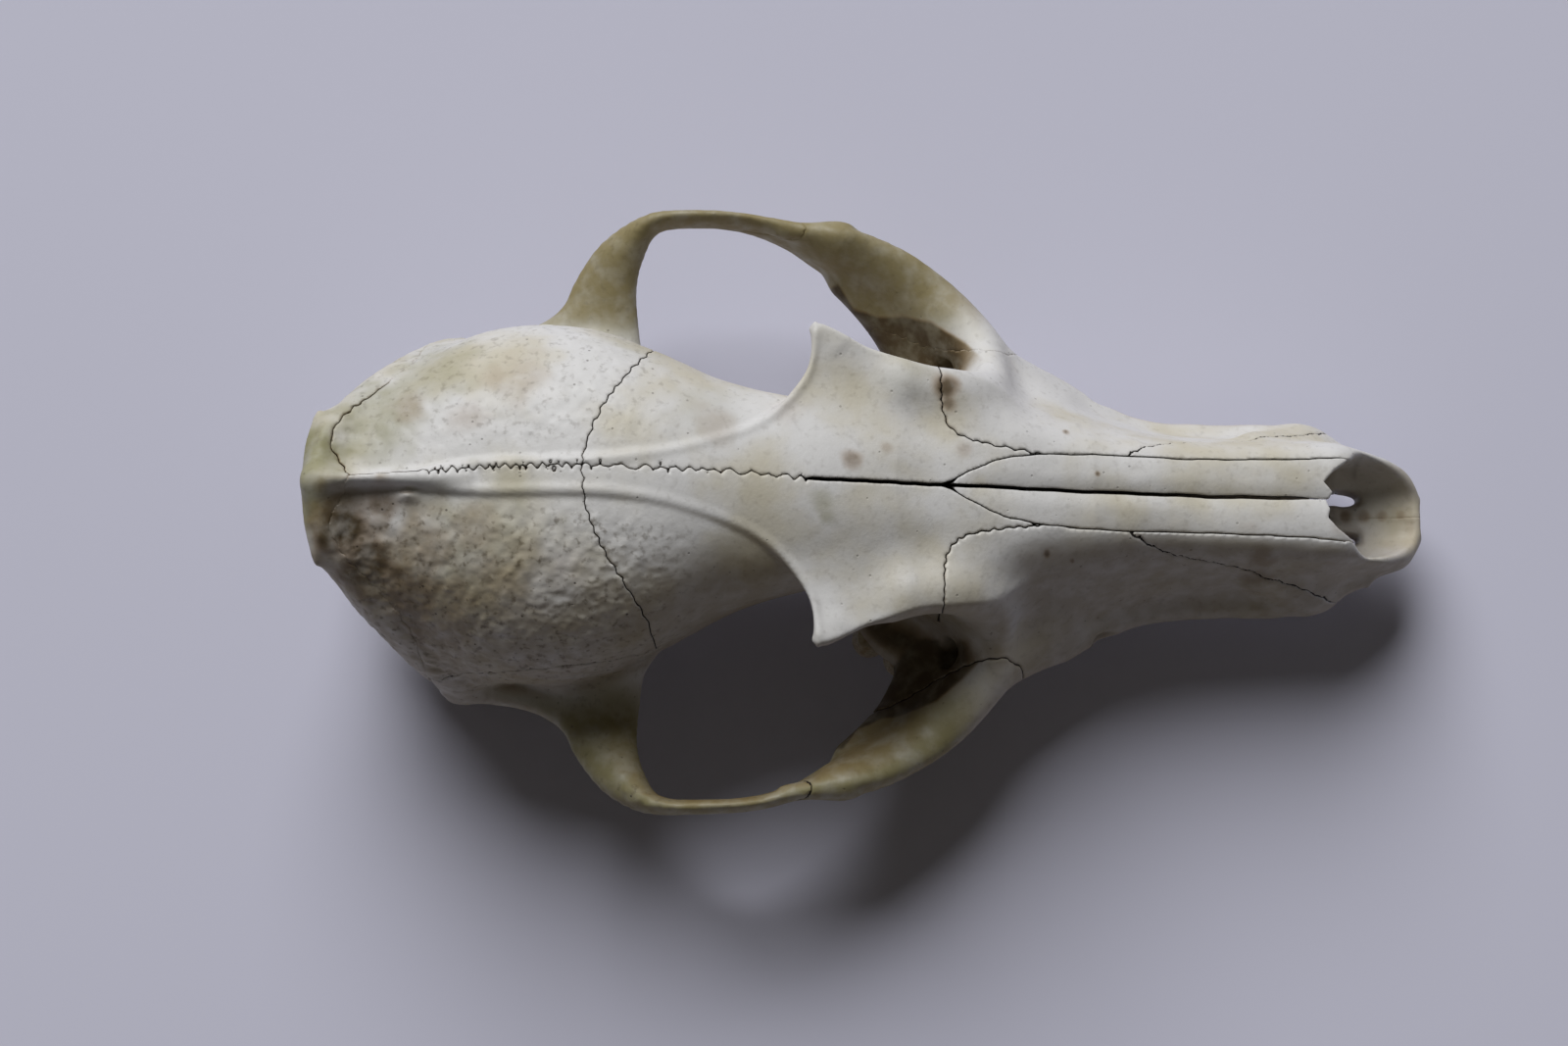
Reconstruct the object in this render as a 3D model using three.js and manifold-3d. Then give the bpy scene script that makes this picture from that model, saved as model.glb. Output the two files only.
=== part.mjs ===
// Fox skull: the cranium of a young adult red fox without its lower jaw, life size, in millimetres.
// +X points to the nose, +Y to the animal's left, +Z up, and z = 0 is the table that it rests on.
// The head is drawn as one smooth solid, an implicit surface that is negative inside the bone.
// It is then parted along its sutures with thin cuts, so that each bone is a solid of its own.
import * as THREE from "three";
import { mergeVertices } from "three/addons/utils/BufferGeometryUtils.js";
import Module from "manifold-3d";

const wasm = await Module();
wasm.setup();

// Driving dimensions.
const SUTURE_GAP = 0.3;
const CELL = 0.7;
const HALF_TRIANGLES = 4400;
const BONE = { color: 0xd8d4c4, roughness: 0.62, metalness: 0 };

// Places along the skull, from the back of the head to the front of the upper jaw.
const INION = -73;
const CREST_FORK = -57;
const BREGMA = -37.5;
const CONSTRICTION = -14;
const POSTORBITAL = -9;
const NASION = 7.6;
const NASAL_TIP = 59.5;
const PROSTHION = 73;

// Heights above the table, and half widths, of the named places.
const ALVEOLAR_Z = 8.5;
const INION_Z = 44;
const BRAINCASE_HALF = 23.5;
const ARCH_HALF = 40;

// A smooth curve through stations: tangents by central differences, level past both ends.
function curve(xs, ys) {
  const slopes = xs.map((x, i) => {
    const a = Math.max(i - 1, 0);
    const b = Math.min(i + 1, xs.length - 1);
    return (ys[b] - ys[a]) / (xs[b] - xs[a]);
  });
  return (x) => {
    if (x <= xs[0]) return ys[0];
    if (x >= xs[xs.length - 1]) return ys[ys.length - 1];
    let i = 0;
    while (x > xs[i + 1]) i += 1;
    const span = xs[i + 1] - xs[i];
    const t = (x - xs[i]) / span;
    const rise = ys[i + 1] - ys[i];
    const bend = slopes[i] * span - rise;
    const unbend = rise - slopes[i + 1] * span;
    return ys[i] + t * rise + t * (1 - t) * ((1 - t) * bend + t * unbend);
  };
}

const clamp01 = (t) => Math.min(1, Math.max(0, t));
const mix = (a, b, t) => a + (b - a) * t;

// Joins two fields, or cuts the second from the first, with a fillet of the given size.
function blend(a, b, fillet) {
  const h = Math.max(fillet - Math.abs(a - b), 0) / fillet;
  return Math.min(a, b) - (h * h * fillet) / 4;
}
const carve = (a, b, fillet) => -blend(-a, b, fillet);

// Ellipsoid of the given centre and radii.
function ellipsoid(cx, cy, cz, rx, ry, rz) {
  return (x, y, z) => {
    const u = (x - cx) / rx;
    const v = (y - cy) / ry;
    const w = (z - cz) / rz;
    const near = Math.hypot(u, v, w);
    const slope = Math.hypot(u / rx, v / ry, w / rz);
    return slope < 1e-9 ? -Math.min(rx, ry, rz) : (near * (near - 1)) / slope;
  };
}

// Body lofted along X. Each station gives its top and low height and its half width at both.
function loft({ at, top, low, wideTop, wideLow, power }) {
  const topAt = curve(at, top);
  const lowAt = curve(at, low);
  const wideTopAt = curve(at, wideTop);
  const wideLowAt = curve(at, wideLow);
  const first = at[0];
  const last = at[at.length - 1];
  return (x, y, z) => {
    const past = Math.max(first - x, x - last);
    if (past > 8) return past;
    const zTop = topAt(x);
    const zLow = lowAt(x);
    const half = (zTop - zLow) / 2;
    const h = (z - zLow - half) / half;
    const wide = mix(wideLowAt(x), wideTopAt(x), clamp01((h + 1) / 2));
    const round = (Math.abs(y / wide) ** power + Math.abs(h) ** power) ** (1 / power);
    return Math.max((round - 1) * Math.min(wide, half), past);
  };
}

// Band swept along a path. Each station is [x, y, z, half thickness, half height, lean in degrees].
// The thickness lies across the path in plan, and a lean tips the band's top edge outwards.
function sweep(stations, steps = 4) {
  const spread = stations.map((s, i) => i);
  const columns = [0, 1, 2, 3, 4, 5].map((c) => curve(spread, stations.map((s) => s[c] ?? 0)));
  const count = (stations.length - 1) * steps;
  const nodes = [];
  for (let i = 0; i <= count; i += 1) nodes.push(columns.map((column) => column(i / steps)));
  const reach = 6 + Math.max(...stations.map((s) => Math.max(s[3], s[4])));
  const low = [0, 1, 2].map((c) => Math.min(...nodes.map((n) => n[c])) - reach);
  const high = [0, 1, 2].map((c) => Math.max(...nodes.map((n) => n[c])) + reach);
  const links = nodes.slice(1).map((b, i) => {
    const a = nodes[i];
    const go = new THREE.Vector3(b[0] - a[0], b[1] - a[1], b[2] - a[2]);
    const across = new THREE.Vector3(-go.y, go.x, 0).normalize();
    return { a, b, go, across, rise: go.clone().cross(across).normalize(), length: go.length() };
  });
  return (x, y, z) => {
    const out = Math.max(low[0] - x, x - high[0], low[1] - y, y - high[1], low[2] - z, z - high[2]);
    if (out > 0) return out + 4;
    let best = Infinity;
    for (const { a, b, go, across, rise, length } of links) {
      const px = x - a[0];
      const py = y - a[1];
      const pz = z - a[2];
      const along = (px * go.x + py * go.y + pz * go.z) / length;
      const t = clamp01(along / length);
      const side = px * across.x + py * across.y;
      const up = px * rise.x + py * rise.y + pz * rise.z;
      const lean = (mix(a[5], b[5], t) * Math.PI) / 180;
      const thick = mix(a[3], b[3], t);
      const tall = mix(a[4], b[4], t);
      const slim = Math.min(thick, tall);
      const u = (side * Math.cos(lean) + up * Math.sin(lean)) / thick;
      const v = (up * Math.cos(lean) - side * Math.sin(lean)) / tall;
      const w = (along - t * length) / slim;
      best = Math.min(best, (Math.hypot(u, v, w) - 1) * slim);
    }
    return best;
  };
}

// The vault: brain case from the back of the head to the waist behind the eye sockets.
const vault = loft({
  at: [-71, -67, -61, -53, -45, -37, -29, -21, CONSTRICTION, -6, 0],
  top: [42.6, 44, 45.2, 46.5, 47.4, 47.8, 47.4, 46, 44.4, 42, 39],
  low: [22, 16.5, 12.5, 10, 9, 9.5, 11, 14, 17, 19, 21],
  wideTop: [8, 11.4, 15.8, 20.2, 22.2, 21.6, 18.8, 15.4, 13, 10.6, 7],
  wideLow: [8, 13, 19, 23.4, BRAINCASE_HALF + 0.7, 23.2, 20, 15.4, 11.8, 8.6, 6],
  power: 2.3,
});

// The shield: the flat upper face of the frontal bones. Its rear edges are the two temple lines, and
// its corners, the postorbital processes, stand out over the eye sockets.
const shieldHalf = curve(
  [-60, CREST_FORK, -50, BREGMA, -30, -24, -18, -14.5, -11.6, -9.9, -9.2, -8.4, -6.5, -3.5, 0.5, 4.5, 9, 14, 22],
  [0.6, 1, 2, 2.2, 2.9, 4.3, 6.7, 8.9, 12, 15.6, 19, 20.5, 20.7, 20, 18, 15.3, 14, 12, 6],
);
const shieldTop = curve(
  [-60, CREST_FORK, -50, BREGMA, -30, -22, -16, POSTORBITAL, -2, 4, 10, 14, 18, 22],
  [45.4, 46.4, 47.2, 48.1, 47.7, 46.4, 45.3, 44.2, 42.7, 40.8, 38.3, 36.2, 33, 28.6],
);
function shieldSurface(x, y) {
  const dimple = 1.4 * Math.exp(-(((x + 4.5) / 5) ** 2) - ((y - 13) / 3.4) ** 2);
  const furrow = 0.7 * Math.exp(-(((x - 4) / 12) ** 2) - (y / 3.6) ** 2);
  return shieldTop(x) - 6.6 * (y / 20) ** 2.4 - dimple - furrow;
}
function shield(x, y, z) {
  const past = Math.max(-60 - x, x - 22);
  if (past > 8 || z < 20) return Math.max(past, 8);
  const slope = (shieldHalf(x + 0.1) - shieldHalf(x - 0.1)) / 0.2;
  const edge = (y - shieldHalf(x)) / Math.hypot(1, slope);
  const thick = mix(4.6, 2.2, clamp01(y / 16));
  const plate = Math.abs(z - shieldSurface(x, y) + thick / 2) - thick / 2;
  return Math.max(-blend(-plate, -edge, 1), past);
}

// The wall between the eye sockets, under the shield.
const core = loft({
  at: [-30, -22, CONSTRICTION, -6, 4, 12, 18, 23],
  top: [34, 38, 41, 40.6, 38.6, 36, 32.6, 28],
  low: [18, 15, 14, 14, 11, 10, 10, 12],
  wideTop: [8, 11.6, 12.2, 11.8, 12.4, 12.8, 11, 6],
  wideLow: [6, 8.6, 9, 8.4, 9.5, 12, 13, 8],
  power: 3,
});

// The face, which falls away from the brow to the cheek and the broad part of the tooth row.
const face = loft({
  at: [2, 8, 14, 20, 25, 30, 36, 42, 48],
  top: [34, 36, 35.2, 34, 32.4, 30.8, 28.4, 24, 18],
  low: [14, 10, 9.4, 9.4, 9.4, 9.4, 9.8, 11, 13],
  wideTop: [8, 10, 9.4, 7.6, 6.6, 6, 5, 4, 2.5],
  wideLow: [10, 18, 22, 21.4, 19.4, 16.2, 12.4, 8.4, 4],
  power: 2.6,
});

// The muzzle, narrow along the nasal bones and wider at the tooth row.
const muzzle = loft({
  at: [4, 10, 16, 20, 25, 30, 36, 44, 52, 57, 60, 62.5, 65, 68, 71, PROSTHION],
  top: [34, 36, 35.7, 34.7, 33.2, 32, 30.9, 29.6, 28.4, 27.6, 27, 25, 22, 18, 14.6, 12.4],
  low: [11, 9.8, 9, 9, 9, 9, 9, 9, 9, 9, 8.8, 8.6, 8.6, 8.6, 9, 10.2],
  wideTop: [10, 10.6, 9.8, 8.6, 7.8, 7.3, 7, 6.9, 7, 7.3, 7.4, 7.4, 7.2, 6.4, 4.4, 2],
  wideLow: [12, 15, 16.6, 17, 16.6, 14.6, 12.8, 11.9, 11.8, 11.6, 10.8, 9.4, 8.4, 7.4, 5.4, 3.4],
  power: 3.2,
});

// The tooth-bearing edge of the upper jaw, which spreads towards the molars.
const jaw = loft({
  at: [-6, -3.5, 0, 4, 9, 15, 20, 25, 29, 35, 44, 52, 57, 60, 62, 65],
  top: [12.6, 14.6, 15.4, 16, 16.8, 17.6, 18, 17.6, 16, 14, 13.6, 13.6, 14, 13.6, 13, 11.8],
  low: [10.4, 8.9, 8.3, 8, 8, 8.1, 8.2, 8.3, 8.4, 8.4, 8.4, 8.4, 8.2, 8.4, 8.8, 9.6],
  wideTop: [7, 13, 17.6, 20, 20.2, 19.8, 19, 18.2, 16, 13, 11.8, 11.6, 11.2, 10.4, 9, 6],
  wideLow: [8, 14, 18, 20.4, 20.6, 20, 19.4, 18.4, 16.4, 13.6, 12.4, 12.2, 11.6, 10.7, 9.2, 6],
  power: 3.4,
});

// The bulge of the canine's root on the side of the muzzle.
const canineRoot = sweep([
  [58, 9.5, 10, 2.2, 2.2],
  [56, 9.4, 14, 2.2, 2.2],
  [50, 8.6, 18.5, 1.6, 1.6],
]);

// The cheek arch: from the upper jaw outwards and back to the side of the brain case.
const arch = sweep([
  [22, 12.5, 18.5, 3, 7, 0],
  [17, 17.8, 18.2, 2.9, 6.6, 18],
  [11.5, 23.4, 17.4, 2.6, 5.9, 36],
  [5, 28.8, 17, 2.1, 5.6, 40],
  [-2, 32.8, 18, 1.9, 5.1, 30],
  [-9, 35.4, 20.2, 1.7, 4.6, 16],
  [-16, 37.6, 21.8, 1.6, 3.8, 6],
  [-23, ARCH_HALF - 1.5, 22.8, 1.6, 3.3, 0],
  [-29.4, ARCH_HALF - 1.8, 22.6, 1.8, 2.9, 0],
  [-33.4, 35.4, 21, 2.8, 2.7, 0],
  [-35.8, 31, 19.4, 4.2, 2.3, 0],
  [-36.9, 25.5, 18, 5.4, 2.2, 0],
  [-37.2, 18, 17.4, 6.6, 3, 0],
]);

// The lower edge of the cheek, which runs from behind the last molar out under the arch.
const cheekEdge = sweep([
  [9, 19, 13, 3, 3],
  [5, 23.6, 12.8, 2.8, 2.5],
  [1, 27.6, 13.8, 2.4, 2.3],
  [-4, 31.6, 16, 1.8, 2],
]);
const cheekKnob = ellipsoid(-7, 36, 24, 2.4, 1.2, 1.4);

// The raised rim of the eye socket, from the brow round its front corner to the cheek.
const orbitRim = sweep([
  [3, 14.6, 37.4, 1.1, 1.4, 20],
  [9, 14.2, 35.4, 1.3, 1.5, 20],
  [13, 15.2, 31.6, 1.5, 1.7, 20],
  [15.2, 17.6, 27, 1.6, 1.9, 25],
  [14, 22, 23.2, 1.6, 1.9, 30],
  [8.6, 28, 21.2, 1.5, 1.8, 35],
  [2, 32.6, 21.4, 1.3, 1.6, 30],
]);

// The crests: one ridge along the mid-line, which forks into a line over each temple.
const sagittalCrest = sweep([
  [INION + 2.2, 0, INION_Z - 0.8, 1, 1.7],
  [-66, 0, 45.2, 1, 1.7],
  [CREST_FORK, 0, 46.8, 1.1, 1.1],
  [-52, 0, 46.6, 1, 0.8],
]);
const templeLine = sweep(
  [CREST_FORK, -50, BREGMA, -30, -24, -18, -14.5, -11.6, -9.9, -9].map((x) => {
    const y = shieldHalf(x) - 0.5;
    return [x, y, shieldSurface(x, y) - 0.3, 0.7, 0.7];
  }),
);

// The nuchal crest: a wing of bone from the back of the crown down to behind the ear.
const nuchalCrest = sweep([
  [INION + 2.3, 0, INION_Z - 1.5, 1.2, 1.8],
  [-70.6, 4.5, 42.4, 1.1, 1.9],
  [-68.2, 9.2, 38.4, 1.1, 2.1],
  [-64.4, 14.2, 32.4, 1.1, 2.3],
  [-59.8, 19.4, 25, 1.2, 2.4],
  [-56, 22, 18.4, 1.6, 2.6],
  [-54.5, 21.6, 13, 2.6, 3],
]);

// The joints and pegs at the back of the skull base.
const condyle = ellipsoid(-66.4, 8.2, 15, 4.6, 4.2, 6);
const earPeg = sweep([
  [-61.8, 15, 14, 3.2, 3.2],
  [-61.8, 16, 8.5, 2.2, 2.2],
  [-61.4, 16.4, 4.6, 1.3, 1.3],
]);
const jawStop = sweep([
  [-40.6, 17, 12.6, 1.7, 3],
  [-40.8, 22, 11.8, 1.6, 3],
  [-40, 27, 13.6, 1.4, 2.2],
]);
const earRidge = sweep([
  [-39, 27, 17.6, 1.6, 1.6],
  [-46, 24.2, 17, 1.5, 1.5],
  [-54, 22.6, 16, 1.6, 1.6],
]);
const nape = ellipsoid(-61.5, 0, 27, 9.8, 15, 16);

// The base of the skull, between the ear capsules and under the brain.
const base = loft({
  at: [-67, -62, -50, -40, -30, -20, -8, 2, 6],
  top: [20, 24, 24, 24, 24, 24, 22, 20, 18],
  low: [14, 10, 8.8, 9.4, 11.6, 13, 13.4, 12, 13],
  wideTop: [7, 14, 15, 13, 11, 10, 9, 9, 7],
  wideLow: [6, 10, 10, 9, 8, 7, 7, 8, 7],
  power: 3,
});

// The thin upright plates behind the palate, each ending in a hook.
const throatPlate = sweep([
  [4, 7.6, 12, 1.8, 3.4],
  [-5, 6.6, 12.2, 1.2, 4.4],
  [-14, 5.8, 12.2, 0.9, 4.6],
  [-21, 5.4, 11.8, 0.8, 4.6],
  [-26, 5.6, 8.4, 0.8, 2],
]);

// The openings: the nose, the slits in the front palate, the canals and the great hole at the back.
const nasalPassage = loft({
  at: [6, 12, 20, 30, 40, 50, 63],
  top: [33, 34, 33, 30.4, 28.5, 27, 25],
  low: [25, 21, 17, 15, 14, 13.2, 12.6],
  wideTop: [2, 3.4, 4.3, 4.6, 4.8, 5.2, 5.9],
  wideLow: [2.4, 4.4, 5.6, 5.8, 5.8, 6.1, 6.6],
  power: 2.6,
});
const nasalMouth = loft({
  at: [59.6, 61.4, 63, 65, 68, 71, 74],
  top: [30, 40, 40, 40, 40, 40, 40],
  low: [20, 14, 12.4, 12.2, 12.2, 12.6, 13.4],
  wideTop: [2, 3, 6, 6.2, 5.4, 4, 2.4],
  wideLow: [2, 6.4, 6.6, 6.4, 5.4, 4, 2.4],
  power: 4,
});
const nasalNotch = ellipsoid(NASAL_TIP + 1.4, 3.2, 27.5, 3, 1.7, 6);
const palateSlit = ellipsoid(59.5, 2.7, 10, 6, 1.5, 6);
const canineSocket = sweep([
  [58.4, 10.2, 5, 2.2, 2.2],
  [57.6, 9.8, 11, 2, 2],
  [55.8, 9.4, 15, 1.4, 1.4],
]);
const cheekHole = ellipsoid(25.5, 18.6, 13.2, 2.6, 1.7, 1.6);
const orbitHole = ellipsoid(12.2, 19.4, 18.6, 3.2, 1.9, 2.2);
const throat = loft({
  at: [-40, -24, -10, 0, 8],
  top: [8, 12.6, 14.4, 15, 14.6],
  low: [-4, -4, -4, -2, 11],
  wideTop: [4, 4.3, 4.6, 5, 4],
  wideLow: [4, 4.4, 5, 5.8, 4.4],
  power: 4,
});
const palate = ellipsoid(26, 0, 7.4, 33, 12.4, 2.9);
const greatHole = ellipsoid(-70, 0, 20, 11, 6.8, 5.6);
const earHole = sweep([
  [-46.5, 28, 13.2, 2.3, 2.3],
  [-46.5, 16, 12.4, 2.1, 2.1],
]);
const opticHole = ellipsoid(-12, 8.6, 20.5, 2.2, 4, 1.8);

// The ear capsule under the brain case, and the socket that takes it with a thin gap.
const EAR_CAPSULE = { x: -47.5, y: 13, z: 8.2, long: 11.4, wide: 7.4, tall: 8.2 };
const capsuleField = ellipsoid(
  EAR_CAPSULE.x, EAR_CAPSULE.y, EAR_CAPSULE.z, EAR_CAPSULE.long, EAR_CAPSULE.wide, EAR_CAPSULE.tall,
);

// The whole skull. It is the same on both sides, so only the left half is drawn, and the right is its
// mirror image. The half runs a little past the mid-line, where a plane trims it.
const PAST_MIDDLE = 1.5;
const JOINED = [
  [base, 3],
  [core, 5],
  [shield, 1.6],
  [face, 5],
  [muzzle, 4],
  [jaw, 3],
  [arch, 3],
  [cheekEdge, 2.5],
  [cheekKnob, 2],
  [orbitRim, 4],
  [canineRoot, 3],
  [sagittalCrest, 2],
  [templeLine, 1],
  [nape, 4],
  [nuchalCrest, 5],
  [condyle, 2],
  [earPeg, 2],
  [jawStop, 1.5],
  [earRidge, 2],
  [throatPlate, 1.5],
];
const CARVED = [
  [throat, 1],
  [palate, 2],
  [nasalPassage, 0.6],
  [nasalMouth, 1.2],
  [nasalNotch, 0.6],
  [palateSlit, 0.8],
  [canineSocket, 0.8],
  [cheekHole, 1],
  [orbitHole, 1],
  [greatHole, 1.5],
  [earHole, 1],
  [opticHole, 0.8],
];
function skullField(x, signedY, z) {
  const y = Math.abs(signedY);
  let d = vault(x, y, z);
  for (const [form, fillet] of JOINED) d = blend(d, form(x, y, z), fillet);
  for (const [form, fillet] of CARVED) d = carve(d, form(x, y, z), fillet);
  return Math.max(d, SUTURE_GAP - capsuleField(x, y, z));
}
const halfField = (x, y, z) => Math.max(skullField(x, y, z), -y - PAST_MIDDLE);

// Meshes a field's zero surface on a grid. Each crossed cell is split into six tetrahedra, so that the
// mesh is always closed. The grid is worked out in blocks, and blocks far from the surface are passed over.
const TETRAHEDRA = [[0, 1, 3, 7], [0, 1, 5, 7], [0, 2, 3, 7], [0, 2, 6, 7], [0, 4, 5, 7], [0, 4, 6, 7]];
const BLOCK = 4;
function polygonise(field, low, high, cell) {
  const [nx, ny, nz] = low.map((l, i) => Math.ceil((high[i] - l) / cell / BLOCK) * BLOCK + 1);
  const at = (i, j, k) => (k * ny + j) * nx + i;
  const spot = (n) => {
    const i = n % nx;
    const j = Math.floor(n / nx) % ny;
    const k = Math.floor(n / nx / ny);
    return [low[0] + i * cell, low[1] + j * cell, low[2] + k * cell];
  };
  const value = new Float64Array(nx * ny * nz).fill(NaN);
  const points = [];
  const onEdge = new Map();
  const faces = [];
  const crossing = (a, b) => {
    const key = Math.min(a, b) * value.length + Math.max(a, b);
    if (!onEdge.has(key)) {
      const t = Math.min(0.95, Math.max(0.05, value[a] / (value[a] - value[b])));
      const p = spot(a);
      const q = spot(b);
      onEdge.set(key, points.length / 3);
      points.push(mix(p[0], q[0], t), mix(p[1], q[1], t), mix(p[2], q[2], t));
    }
    return onEdge.get(key);
  };
  const face = (a, b, c, inside, outside) => {
    const [p, q, r] = [a, b, c].map((v) => new THREE.Vector3(...points.slice(v * 3, v * 3 + 3)));
    const out = new THREE.Vector3(...spot(outside)).sub(new THREE.Vector3(...spot(inside)));
    const faced = q.clone().sub(p).cross(r.clone().sub(p)).dot(out) > 0;
    faces.push(a, ...(faced ? [b, c] : [c, b]));
  };
  const slice = (corners) => {
    const inside = corners.filter((n) => value[n] < 0);
    const outside = corners.filter((n) => value[n] >= 0);
    if (!inside.length || !outside.length) return;
    const [few, many] = inside.length < outside.length ? [inside, outside] : [outside, inside];
    if (few.length === 1) {
      face(...many.map((n) => crossing(few[0], n)), inside[0], outside[0]);
    } else {
      const [a, b] = inside;
      const [c, d] = outside;
      face(crossing(a, c), crossing(a, d), crossing(b, d), a, c);
      face(crossing(a, c), crossing(b, d), crossing(b, c), a, c);
    }
  };
  const reach = 1.4 * BLOCK * cell;
  for (let k = 0; k < nz - 1; k += BLOCK)
    for (let j = 0; j < ny - 1; j += BLOCK)
      for (let i = 0; i < nx - 1; i += BLOCK) {
        const middle = [i, j, k].map((n, c) => low[c] + (n + BLOCK / 2) * cell);
        if (Math.abs(field(...middle)) > reach) continue;
        for (let n = 0; n < (BLOCK + 1) ** 3; n += 1) {
          const [u, v, w] = [n % 5, Math.floor(n / 5) % 5, Math.floor(n / 25)];
          const here = at(i + u, j + v, k + w);
          if (Number.isNaN(value[here])) value[here] = field(...spot(here));
        }
        for (let n = 0; n < BLOCK ** 3; n += 1) {
          const [u, v, w] = [n % 4, Math.floor(n / 4) % 4, Math.floor(n / 16)];
          const cube = [0, 1, 2, 3, 4, 5, 6, 7].map((c) =>
            at(i + u + (c & 1), j + v + ((c >> 1) & 1), k + w + (c >> 2)),
          );
          for (const corners of TETRAHEDRA) slice(corners.map((c) => cube[c]));
        }
      }
  return { points: Float64Array.from(points), faces: Uint32Array.from(faces) };
}

// Moves each point along the field's slope onto the surface, by no more than the given distance.
function settle(mesh, field, most, rounds) {
  const e = 0.02;
  const { points } = mesh;
  for (let n = 0; n < points.length; n += 3) {
    const start = [points[n], points[n + 1], points[n + 2]];
    const p = [...start];
    for (let round = 0; round < rounds; round += 1) {
      const d = field(...p);
      const g = [0, 1, 2].map((c) => {
        const q = [...p];
        q[c] += e;
        return (field(...q) - d) / e;
      });
      const steep = g[0] ** 2 + g[1] ** 2 + g[2] ** 2;
      if (steep < 0.05) break;
      for (let c = 0; c < 3; c += 1) p[c] -= (0.9 * d * g[c]) / steep;
    }
    const moved = Math.hypot(p[0] - start[0], p[1] - start[1], p[2] - start[2]);
    const share = Math.min(1, most / Math.max(moved, 1e-9));
    for (let c = 0; c < 3; c += 1) points[n + c] = start[c] + (p[c] - start[c]) * share;
  }
  return mesh;
}

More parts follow.
